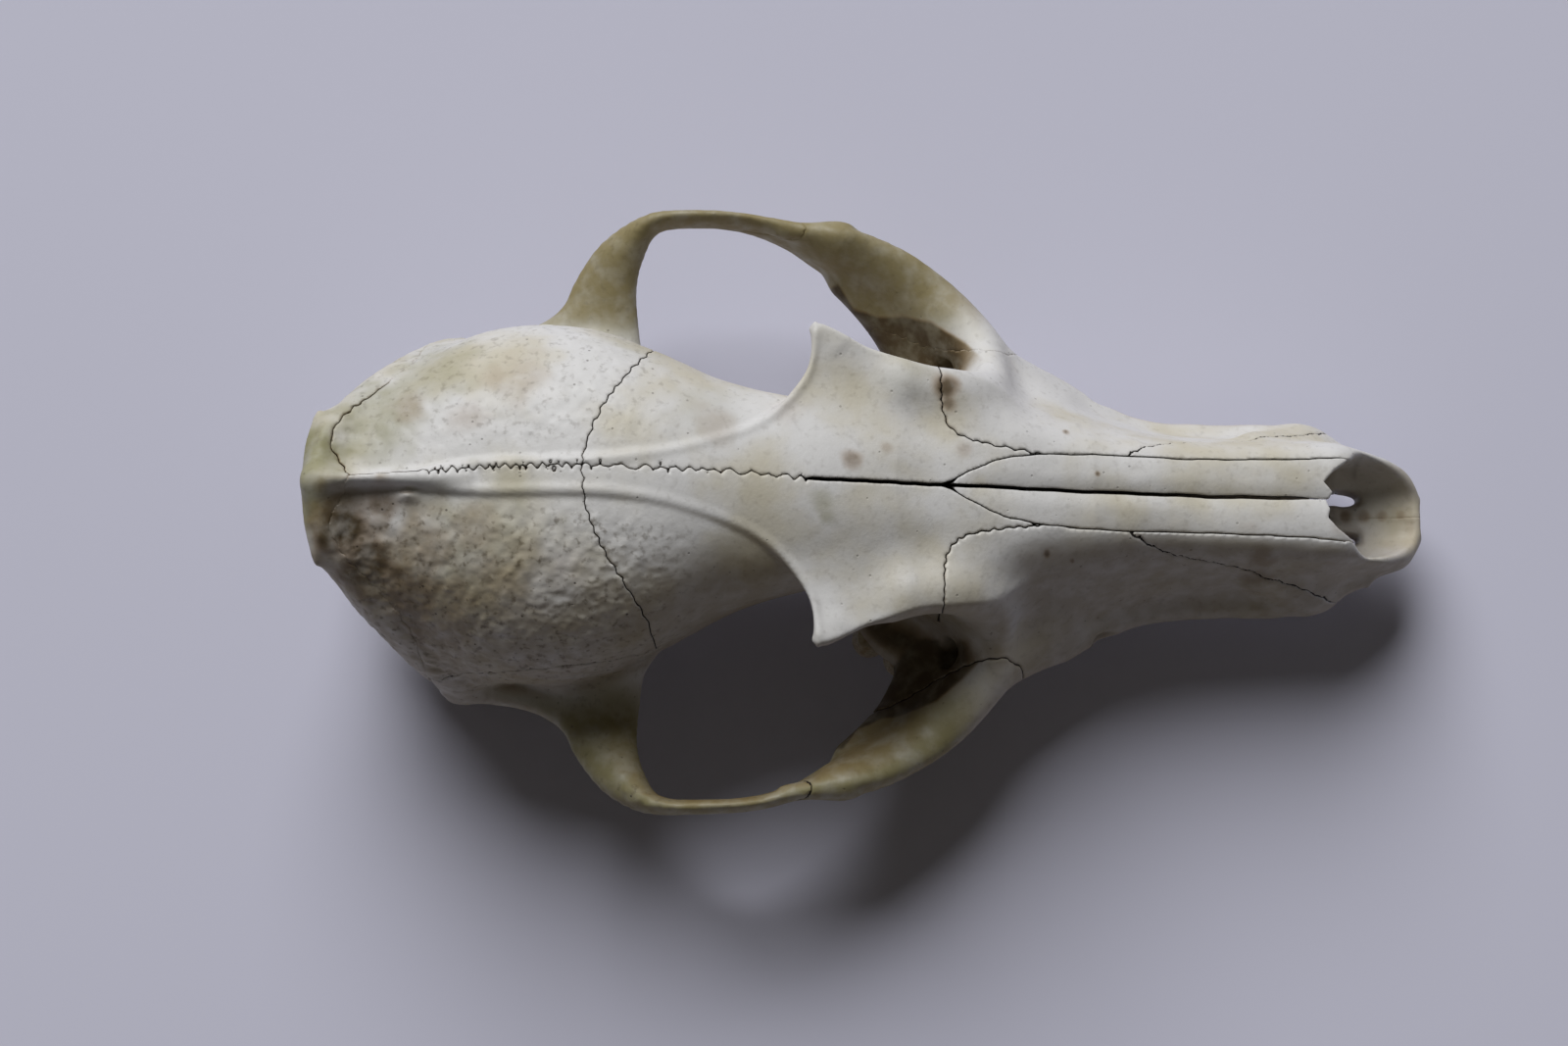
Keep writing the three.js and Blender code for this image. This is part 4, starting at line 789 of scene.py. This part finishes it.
Blot = namedtuple("Blot", "x y radius strength")
SOIL_BLOTS = [
    Blot(-3.9, 2.7, 1.7, 0.7), Blot(0.5, 4.4, 1, 0.4), Blot(8.1, 12.6, 2, 0.95), Blot(8.5, 10.6, 1.4, 0.75),
    Blot(21, -8, 0.6, 0.9), Blot(24.4, -8.6, 0.5, 0.8), Blot(62.5, 0.3, 1.2, 0.75), Blot(65, 0.3, 1.1, 0.7),
    Blot(67.5, 0.3, 1, 0.65), Blot(70, 0.3, 1, 0.6), Blot(23.8, 8.1, 0.5, 0.9), Blot(27.7, 2.3, 0.45, 0.9),
    Blot(-68, -5.5, 5.6, 1), Blot(-64.5, -10, 6, 0.95), Blot(-59.5, -14.5, 6, 0.75), Blot(-62.5, -3, 3, 0.8),
    Blot(-55, -17, 7, 0.5), Blot(-58, -9, 6, 0.5), Blot(-48, -14, 7, 0.38), Blot(-51, -6.5, 4, 0.36),
    Blot(-40, -12, 4, 0.2), Blot(-59.5, 9.4, 2.4, 0.35), Blot(-48.7, 13.2, 2, 0.3),
    Blot(49, -8.4, 3.4, 0.6), Blot(-45, -11, 5, 0.25), Blot(-45, 13, 4, 0.25), Blot(-52, 8, 3, 0.3),
    Blot(-21, 7.2, 3, 0.25), Blot(10.5, 4.6, 1.6, 0.3), Blot(60, -3, 2.4, 0.35), Blot(-12, 9, 2.4, 0.2),
]
BLOOM_BLOTS = [
    Blot(-63.5, 8.5, 7, 0.65), Blot(-72, 4, 6, 0.95), Blot(-69, 0.6, 4, 0.5), Blot(-72, -3, 6, 0.9),
    Blot(-57, 15, 7, 0.45), Blot(-7.6, -3.3, 1.9, 0.5), Blot(-7.2, -4.6, 1.5, 0.5), Blot(-52, -12, 13, 0.45), Blot(3, 14, 4, 0.2), Blot(68, 2, 6, 0.35),
    Blot(-22, 9, 5, 0.2), Blot(-30, 20, 6, 0.2),
]


def stains_and_shade(points, normals):
    """Soil, bloom and roughness shares at the points of a bone; the soil and bloom shares hold painted shade as
    well.
    """
    x, y, z = points.T
    soil_and_shade = np.zeros(x.size)
    bloom_and_shade = np.zeros(x.size)
    wobble = 1 + 0.4 * lumps(x, y, z, 1.9, 1.9)
    for share, blots in ((soil_and_shade, SOIL_BLOTS), (bloom_and_shade, BLOOM_BLOTS)):
        for blot in blots:
            far = np.hypot(x - blot.x, y - blot.y) * wobble / blot.radius
            np.maximum(share, blot.strength * ramp(-far, -1.2, -0.25), out=share)
    look = 1.6
    ahead = points + look * normals
    hollow = 1 - skull(*ahead.T) / look
    bridge_share = ramp(x, 6, 12) * ramp(z, 24, 27) * ramp(-np.abs(y), -8, -6)
    soil_and_shade = np.maximum(soil_and_shade, 0.65 * ramp(hollow, 0.45, 0.95) * (1 - bridge_share))
    beside = np.abs(y)
    # Painted shade: the inner faces of the cheek arches, turned towards the middle of the head, are painted
    # browner, more so on the right.
    arch_inner_shade = np.clip(-normals[:, 1] * np.sign(y), 0, 1) * ramp(beside, 19, 26)
    # Painted shadow: the floor of each eye socket, under the cheek arch's upper rim, is painted dark brown and
    # olive, up to a sharp edge where the rim's shadow ends.
    arch_rim_shadow_edge = np.interp(x, [-5, -3, 0, 3.3, 7.2, 11.5, 14], [32, 29.2, 28.1, 27.6, 26.2, 22.6, 19.5])
    shaded_floor = ramp(arch_rim_shadow_edge - beside - 0.4 * wobble, 0, 0.8)
    outward = ramp(normals[:, 1] * np.sign(y), 0.2, 0.75)
    orbit_floor_painted_shadow = shaded_floor * ramp(beside, 9, 11) * ramp(x, -13, -5) * ramp(-x, -16, -14) * ramp(-z, -28, -22)
    orbit_floor_painted_shadow = orbit_floor_painted_shadow * (1 - 0.55 * outward)
    soil_and_shade = np.maximum(soil_and_shade, arch_inner_shade * np.where(y > 0, 0.45, 0.7))
    # Painted shade: on the right of the head, surfaces that face right, away from the light, are painted browner
    # and more olive.
    right_side_shade = ramp(-normals[:, 1], 0.3, 0.8) * ramp(-y, 2, 6)
    soil_and_shade = np.maximum(soil_and_shade, orbit_floor_painted_shadow)
    soil_and_shade = np.maximum(soil_and_shade, 0.36 * right_side_shade)
    bloom_and_shade = np.maximum(bloom_and_shade, 0.4 * right_side_shade)
    soil_and_shade = np.maximum(soil_and_shade, np.where(y > 0, 0.32, 0.15) * ramp(beside, 23, 28))
    bloom_and_shade = np.maximum(bloom_and_shade, 0.95 * ramp(beside, 21, 28) * ramp(-x, -16, -8))
    bloom_and_shade = np.maximum(bloom_and_shade, 0.8 * orbit_floor_painted_shadow)
    inside_nose = ramp(-beside, -6.8, -6) * ramp(x, 8, 10) * ramp(z, 11, 13) * ramp(-z, -25, -23)
    soil_and_shade = np.maximum(soil_and_shade, 0.25 * inside_nose)
    bloom_and_shade = np.maximum(bloom_and_shade, 0.1 * inside_nose)
    rough = 0.25 + 0.75 * muscle_field(x, y, z) * (1 - 0.65 * ramp(y, -2, 2))
    return np.stack([soil_and_shade, bloom_and_shade, rough, np.ones(x.size)], 1)


# Each bone is meshed by itself: the head's form inside the bone's own region, less half a suture's gap,
# with its edges eased. The grid's surface is drawn as quads, and left and right share the head's values.
BLOCK = 4
SIDES = {"left": 1, "right": -1}


def sampled(grid, place):
    """Values of a grid at places given in steps of the grid."""
    last = np.array(grid.shape) - 1
    low = np.minimum(np.maximum(np.floor(place).astype(np.int32), 0), np.maximum(last - 1, 0))
    t = np.clip(place - low, 0, 1)
    high = np.minimum(low + 1, last)
    low = np.minimum(low, last)
    value = 0
    for i, a in ((low[:, 0], 1 - t[:, 0]), (high[:, 0], t[:, 0])):
        for j, b in ((low[:, 1], 1 - t[:, 1]), (high[:, 1], t[:, 1])):
            for k, c in ((low[:, 2], 1 - t[:, 2]), (high[:, 2], t[:, 2])):
                value = value + grid[i, j, k] * a * b * c
    return value


def surface(name, solid, voxel, low, stuff):
    """An object whose surface is the zero level of a grid of values, and its points in grid steps."""
    for axis in range(3):
        np.moveaxis(solid, axis, 0)[[0, -1]] = 1
    grid = openvdb.FloatGrid(1.0)
    grid.copyFromArray(np.clip(solid, -1, 1).astype(np.float32))
    place, quads = grid.convertToQuads(0.0)
    points = place * voxel + low
    mesh = bpy.data.meshes.new(name)
    mesh.vertices.add(len(points))
    mesh.vertices.foreach_set("co", (points * MM).astype(np.float32).ravel())
    mesh.loops.add(quads.size)
    mesh.loops.foreach_set("vertex_index", quads.astype(np.int32).ravel())
    mesh.polygons.add(len(quads))
    mesh.polygons.foreach_set("loop_start", np.arange(0, quads.size, 4, dtype=np.int32))
    mesh.polygons.foreach_set("use_smooth", np.ones(len(quads), bool))
    mesh.update(calc_edges=True)
    mesh.materials.append(stuff)
    made = bpy.data.objects.new(name, mesh)
    scene.collection.objects.link(made)
    normals = np.empty(len(points) * 3, np.float32)
    mesh.vertices.foreach_get("normal", normals)
    return made, place, points, normals.reshape(-1, 3)


def paint(made, points, normals, seam):
    """Stores the stains, the painted shade and the distance to the nearest suture on a bone's points."""
    mesh = made.data
    tints = mesh.attributes.new("tint", "FLOAT_COLOR", "POINT")
    tints.data.foreach_set("color", stains_and_shade(points, normals).astype(np.float32).ravel())
    seams = mesh.attributes.new("seam", "FLOAT", "POINT")
    seams.data.foreach_set("value", seam.astype(np.float32))


def fix(made, *nodes):
    """A bone is grown into the skull, so it moves with the one body, in the place of its solid."""
    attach(made, "root")
    if nodes:
        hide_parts(*nodes)


def head_values(form, axes, wanted_region, voxel):
    """A form's values on a grid, worked out only near its surface where the region holds."""
    middles = [a[::BLOCK] + voxel * (BLOCK - 1) / 2 for a in axes]
    mx, my, mz = [m.ravel() for m in np.meshgrid(*middles, indexing="ij")]
    shape = [m.size for m in middles]
    coarse = form(mx, my, mz).reshape(shape)
    blocks = wanted_region.reshape(shape[0], BLOCK, shape[1], BLOCK, shape[2], BLOCK)
    wanted = (np.abs(coarse) < 1.9 * BLOCK * voxel) & (blocks.min(axis=(1, 3, 5)) < 2 * voxel)
    value = np.where(coarse < 0, -1.0, 1.0).astype(np.float32)
    for axis in range(3):
        value = np.repeat(value, BLOCK, axis)
        wanted = np.repeat(wanted, BLOCK, axis)
    fine = np.nonzero(wanted)
    value[fine] = form(*[a[i] for a, i in zip(axes, fine)])
    return value, fine


def bones(name, low, high, voxel, region_of, gap=0.02, ease=0.06, crown=None, form=skull, faint=None):
    """Makes the left and right bone of a pair from the left one's box."""
    voxel = voxel * 1
    count = [int(np.ceil((h - l) / voxel / BLOCK)) * BLOCK for l, h in zip(low, high)]
    x, y, z = [l + voxel * np.arange(n) for l, n in zip(low, count)]
    regions = {1: region_of(x, y, z, 1), -1: region_of(x, -y[::-1], z, -1)[:, ::-1]}
    regions = {side: np.broadcast_to(region, count) for side, region in regions.items()}
    value, fine = head_values(form, (x, y, z), np.minimum(regions[1], regions[-1]), voxel)
    for word, side in SIDES.items():
        own = value.copy()
        px, py, pz = x[fine[0]], side * y[fine[1]], z[fine[2]]
        own[fine] += relief(px, py, pz)
        if crown is not None:
            own[fine] += crown(px, py, pz)
        width = gap(x, side * y, z) if callable(gap) else gap
        region = regions[side] + width / 2
        solid = -blend(-own, -region, ease)
        start = np.array(low, float)
        if side < 0:
            solid = solid[:, ::-1].copy()
            region = region[:, ::-1]
            start[1] = -y[-1]
        made, place, points, normals = surface(f"{word}_{name}_bone", solid, voxel, start, bone_stuff)
        seam = np.clip(-sampled(region, place), 0, 1)
        if faint is not None:
            seam = np.maximum(seam, faint(*points.T))
        paint(made, points, normals, seam)
        fix(made, f"{name}_{word}")


def middle_bone(name, low, high, voxel, region_of, gap=0.02, ease=0.06, faint=None):
    """Makes a bone that crosses the middle of the head, from the left half of its box."""
    voxel = voxel * 1
    count = [int(np.ceil((h - l) / voxel / BLOCK)) * BLOCK for l, h in zip(low, high)]
    x, z = [l + voxel * np.arange(n) for l, n in ((low[0], count[0]), (low[2], count[2]))]
    half = voxel * (np.arange(int(np.ceil(high[1] / voxel / BLOCK)) * BLOCK) + 0.5)
    y = np.concatenate([-half[::-1], half])
    width = gap(x, y, z) if callable(gap) else gap
    region = np.broadcast_to(region_of(x, y, z), (x.size, y.size, z.size)) + width / 2
    folded = np.minimum(region[:, half.size:], region[:, :half.size][:, ::-1])
    value, fine = head_values(skull, (x, half, z), folded, voxel)
    px, py, pz = x[fine[0]], half[fine[1]], z[fine[2]]
    left, right = value.copy(), value.copy()
    left[fine] += relief(px, py, pz)
    right[fine] += relief(px, -py, pz)
    own = np.concatenate([right[:, ::-1], left], 1)
    solid = -blend(-own, -region, ease)
    start = np.array((low[0], y[0], low[2]))
    made, place, points, normals = surface(f"{name}_bone", solid, voxel, start, bone_stuff)
    seam = np.clip(-sampled(region, place), 0, 1)
    if faint is not None:
        seam = np.maximum(seam, faint(*points.T))
    paint(made, points, normals, seam)
    fix(made, name)


# The parietals: two thin, curved plates that roof the brain case, locked together along the crown.
def fused(x, y):
    """One where the suture at the back is grown over: on the right side, and low on the left."""
    return ramp(-x, 56, 60) * np.maximum(ramp(-y, -1, 1), ramp(y, 13, 15))


def fused_seam(x, y, z):
    worn = np.maximum(ramp(-np.abs(y - 1), -2.6, -2), ramp(-x, 56, 58))
    return np.maximum(0.6 * fused(x, y), 0.052 * worn)


def fused_gap(x, y, z):
    return (0.02 - 0.3 * fused(x[:, None], y[None, :]))[:, :, None]


bones("parietal", (-70.5, -3, 22), (-26, 26, 50), 0.23, parietal_region, gap=fused_gap, faint=fused_seam)


# The frontals: the forehead, from the brain case to the root of the nose. Ahead of the eye sockets the
# seam between them has opened to a narrow dark gap.
def forehead_gap(x, y, z):
    open_length = ramp(x, -10.5, -8.5) * ramp(-x, -9, -7.4)
    return 0.02 + 0.34 * open_length[:, None, None] * ramp(-np.abs(y), -2, -1)[None, :, None]


def forehead_seam(x, y, z):
    return 0.05 * ramp(-np.abs(y - 0.8), -2.6, -2) * ramp(-x, 9.5, 11)


bones("frontal", (-40, -3, 20), (23, 23, 50), 0.24, frontal_region, gap=forehead_gap, faint=forehead_seam)


# The nasals: two long, narrow rolls of bone side by side on the bridge of the nose, each ending in a
# notch between two points.
def roll(x, y, z):
    inner = np.clip(1 - np.abs(y) / 2.4, 0, 1)
    outer = np.clip(np.abs(y) / 2.4 - 1, 0, 1.2)
    return (0.4 * inner ** 2 + 0.05 * outer ** 2) * ramp(x, 6, 16)


def nose_gap(x, y, z):
    opened = ramp(-x, -56.5, -53)[:, None, None] * ramp(-np.abs(y), -1, -0.5)[None, :, None]
    return 0.03 + 0.34 * opened


def bridge(x, y, z):
    """The head with the front of the nose not yet opened, so that the nasals run on to their points."""
    return skull(x, y, z, [])


def nose_tip(x, y, z):
    """Keeps the free edges round the nose's opening clear of suture dirt."""
    return 0.6 * ramp(x, 56.6, 57.4) * ramp(z, 14, 17)


bones(
    "nasal", (6, -1, 18), (64, 7.5, 42), 0.2, nasal_region, gap=nose_gap, ease=0.1, crown=roll, form=bridge,
    faint=nose_tip,
)


# The premaxillae: the front of the upper jaw, round the opening of the nose, with a slim branch that
# runs back beside each nasal bone.
def nose_rim(x, y, z):
    return 0.6 * ramp(x, 59.6, 60.6) * ramp(z, 10, 11.5)


def nose_floor_gap(x, y, z):
    return 0.02 - 0.3 * ramp(x, 60, 61)[:, None, None] * ramp(z, 10, 11)[None, None, :]


bones("premaxilla", (29, -1, 6), (75, 15, 34), 0.24, premaxilla_region, gap=nose_floor_gap, faint=nose_rim)


# The maxillae: the sides of the muzzle, which hold the cheek teeth and send a root out to the arch. On
# the left the seam with the arch is grown over above.
def left_cheek(x, y, z):
    return 0.6 * ramp(y, 15.5, 17) * ramp(z, 9, 11)


def cheek_gap(x, y, z):
    return 0.02 - 0.3 * (ramp(y, 15.5, 17)[:, None] * ramp(z, 9, 11)[None, :])[None]


bones("maxilla", (-9, -1, 5), (65, 27, 40), 0.3, maxilla_region, gap=cheek_gap, faint=left_cheek)

# The jugals: the front half of each cheek arch, a leaf of bone under the eye.
bones("jugal", (-31, 19, 6), (22, 42, 30), 0.26, jugal_region, gap=cheek_gap, faint=left_cheek)

# The temporals: the rear half of each cheek arch with the jaw socket, and the wall beside the ear.
bones("temporal", (-60, 9, 4), (-4, 43, 36), 0.3, temporal_region)

# The bones of the middle: the occipital at the back with the joints for the neck, the floor of the
# brain case, and the palatine at the back of the mouth's roof.
middle_bone("occipital", (-75, -27, 1), (-57, 27, 49), 0.32, occipital_region, gap=fused_gap, faint=fused_seam)
middle_bone("basicranium", (-61, -27, 4), (-7, 27, 36), 0.38, basicranium_region)
middle_bone("palatine", (-10, -18, 6), (9, 18, 26), 0.3, palatine_region)

# The ear capsules: two thin, rounded shells of bone under the brain case.
for word, side in SIDES.items():
    voxel = 0.3
    centre, radii = [np.array(v) for v in EAR_CAPSULE]
    centre = centre * (1, side, 1)
    start = centre - radii - 1
    axes = [a + voxel * np.arange(int((2 * r + 2) / voxel)) for a, r in zip(start, radii)]
    x, y, z = np.meshgrid(*axes, indexing="ij")
    solid = capsule.field(x, np.abs(y), z) + relief(x, y, z)
    made, place, points, normals = surface(f"{word}_ear_capsule", solid, voxel, start, bone_stuff)
    paint(made, points, normals, np.ones(len(points)))
    fix(made, f"bulla_{word}")

# The cheek teeth: enamel crowns in the sockets of each maxilla, from the small first premolar to the
# two molars. They are worn and a little stained near the bone. The canines and incisors are lost.
ENAMEL_PALE, ENAMEL_STAINED = "#d6d0bd", "#8a7448"
enamel, tree, shader = blank_material("tooth_enamel")
here = node(tree, "ShaderNodeTexCoord").outputs["Object"]
height = node(tree, "ShaderNodeSeparateXYZ", {"Vector": here}).outputs["Z"]
streak = node(tree, "ShaderNodeTexNoise", {"Vector": here, "Scale": per_metre(1.2), "Detail": 4.0}).outputs["Fac"]
near_gum, patchy, gloss = [
    node(tree, "ShaderNodeMapRange", {
        "Value": value, "From Min": low, "From Max": high, "To Min": to_low, "To Max": to_high,
    }, interpolation_type="SMOOTHSTEP").outputs["Result"]
    for value, low, high, to_low, to_high in (
        (height, 5 * MM, 8.6 * MM, 0.0, 1.0), (streak, 0.3, 0.7, 0.4, 1.0), (streak, 0.3, 0.7, 0.2, 0.4))
]
neck = node(tree, "ShaderNodeMath", {0: near_gum, 1: patchy}, operation="MULTIPLY").outputs[0]
crown = node(tree, "ShaderNodeMix", {
    0: neck, 6: linear(ENAMEL_PALE), 7: linear(ENAMEL_STAINED),
}, data_type="RGBA").outputs[2]
tree.links.new(crown, shader.inputs["Base Color"])
shader.inputs["IOR"].default_value = 1.62
tree.links.new(gloss, shader.inputs["Roughness"])
tree.links.new(node(tree, "ShaderNodeBump", {
    "Height": streak, "Strength": 0.25, "Distance": 0.08 * MM,
}).outputs["Normal"], shader.inputs["Normal"])

Tooth = namedtuple("Tooth", "x y turn cusps")
Cusp = namedtuple("Cusp", "forward outward long wide tall")
GUM_Z, ROOT_DEEP = 8.5, 3
TEETH = [
    Tooth(45.4, 10.6, 0, [Cusp(0, 0, 4.2, 2.8, 3.4)]),
    Tooth(38.4, 11.2, 6, [Cusp(0.6, 0, 6, 3, 5.2), Cusp(-2.6, 0, 3.6, 2.6, 3)]),
    Tooth(29.4, 13.4, 20, [Cusp(0.8, 0, 6.4, 3.6, 5.8), Cusp(-2.8, 0, 4, 3, 3.6)]),
    Tooth(16.4, 16.8, 12, [Cusp(1.6, 0.2, 8, 5, 8.4), Cusp(-4, 0, 6.4, 4.4, 6.6), Cusp(4.4, -3, 4.4, 4, 4.2)]),
    Tooth(5, 16.4, 0, [Cusp(2, 1.8, 5, 5, 6), Cusp(-2, 1.6, 4.8, 4.8, 5.2), Cusp(0, -3, 6.4, 6, 3.8)]),
    Tooth(-1.4, 14, 0, [Cusp(0.2, 1.4, 4.6, 4.6, 4), Cusp(0, -1.8, 4, 4.4, 3)]),
]
crown_width = curve([-0.6, 0, 0.25, 0.55, 0.8, 1], [0.75, 1, 0.94, 0.66, 0.36, 0.06])


def tooth_row(x, y, z):
    row = np.full(x.shape, 1e3)
    for tooth in TEETH:
        c, s = cos(radians(tooth.turn)), sin(radians(tooth.turn))
        u = (x - tooth.x) * c - (y - tooth.y) * s
        v = (x - tooth.x) * s + (y - tooth.y) * c
        whole = np.full(x.shape, 1e3)
        for cusp in tooth.cusps:
            deep = (GUM_Z - z) / cusp.tall
            about = np.hypot((u - cusp.forward) / cusp.long, (v - cusp.outward) / cusp.wide) * 2
            slim = min(cusp.long, cusp.wide) / 2
            side_wall = (about - crown_width(deep)) * slim
            ends = np.maximum(GUM_Z - cusp.tall - z, z - GUM_Z - ROOT_DEEP)
            whole = blend(whole, np.maximum(side_wall, ends), 0.8)
        row = np.minimum(row, whole)
    return row


for word, side in SIDES.items():
    voxel = 0.25
    axes = [a + voxel * np.arange(int((b - a) / voxel)) for a, b in ((-5, 49), (7, 22), (-0.5, 12.5))]
    x, y, z = np.meshgrid(*axes, indexing="ij")
    solid = tooth_row(x, y, z) + 0.04 * lumps(x, side * y, z, 0.9, 2.3)
    start = np.array([a[0] for a in axes])
    if side < 0:
        solid = solid[:, ::-1].copy()
        start[1] = -axes[1][-1]
    made, place, points, normals = surface(f"{word}_cheek_teeth", solid, voxel, start, enamel)
    fix(made)
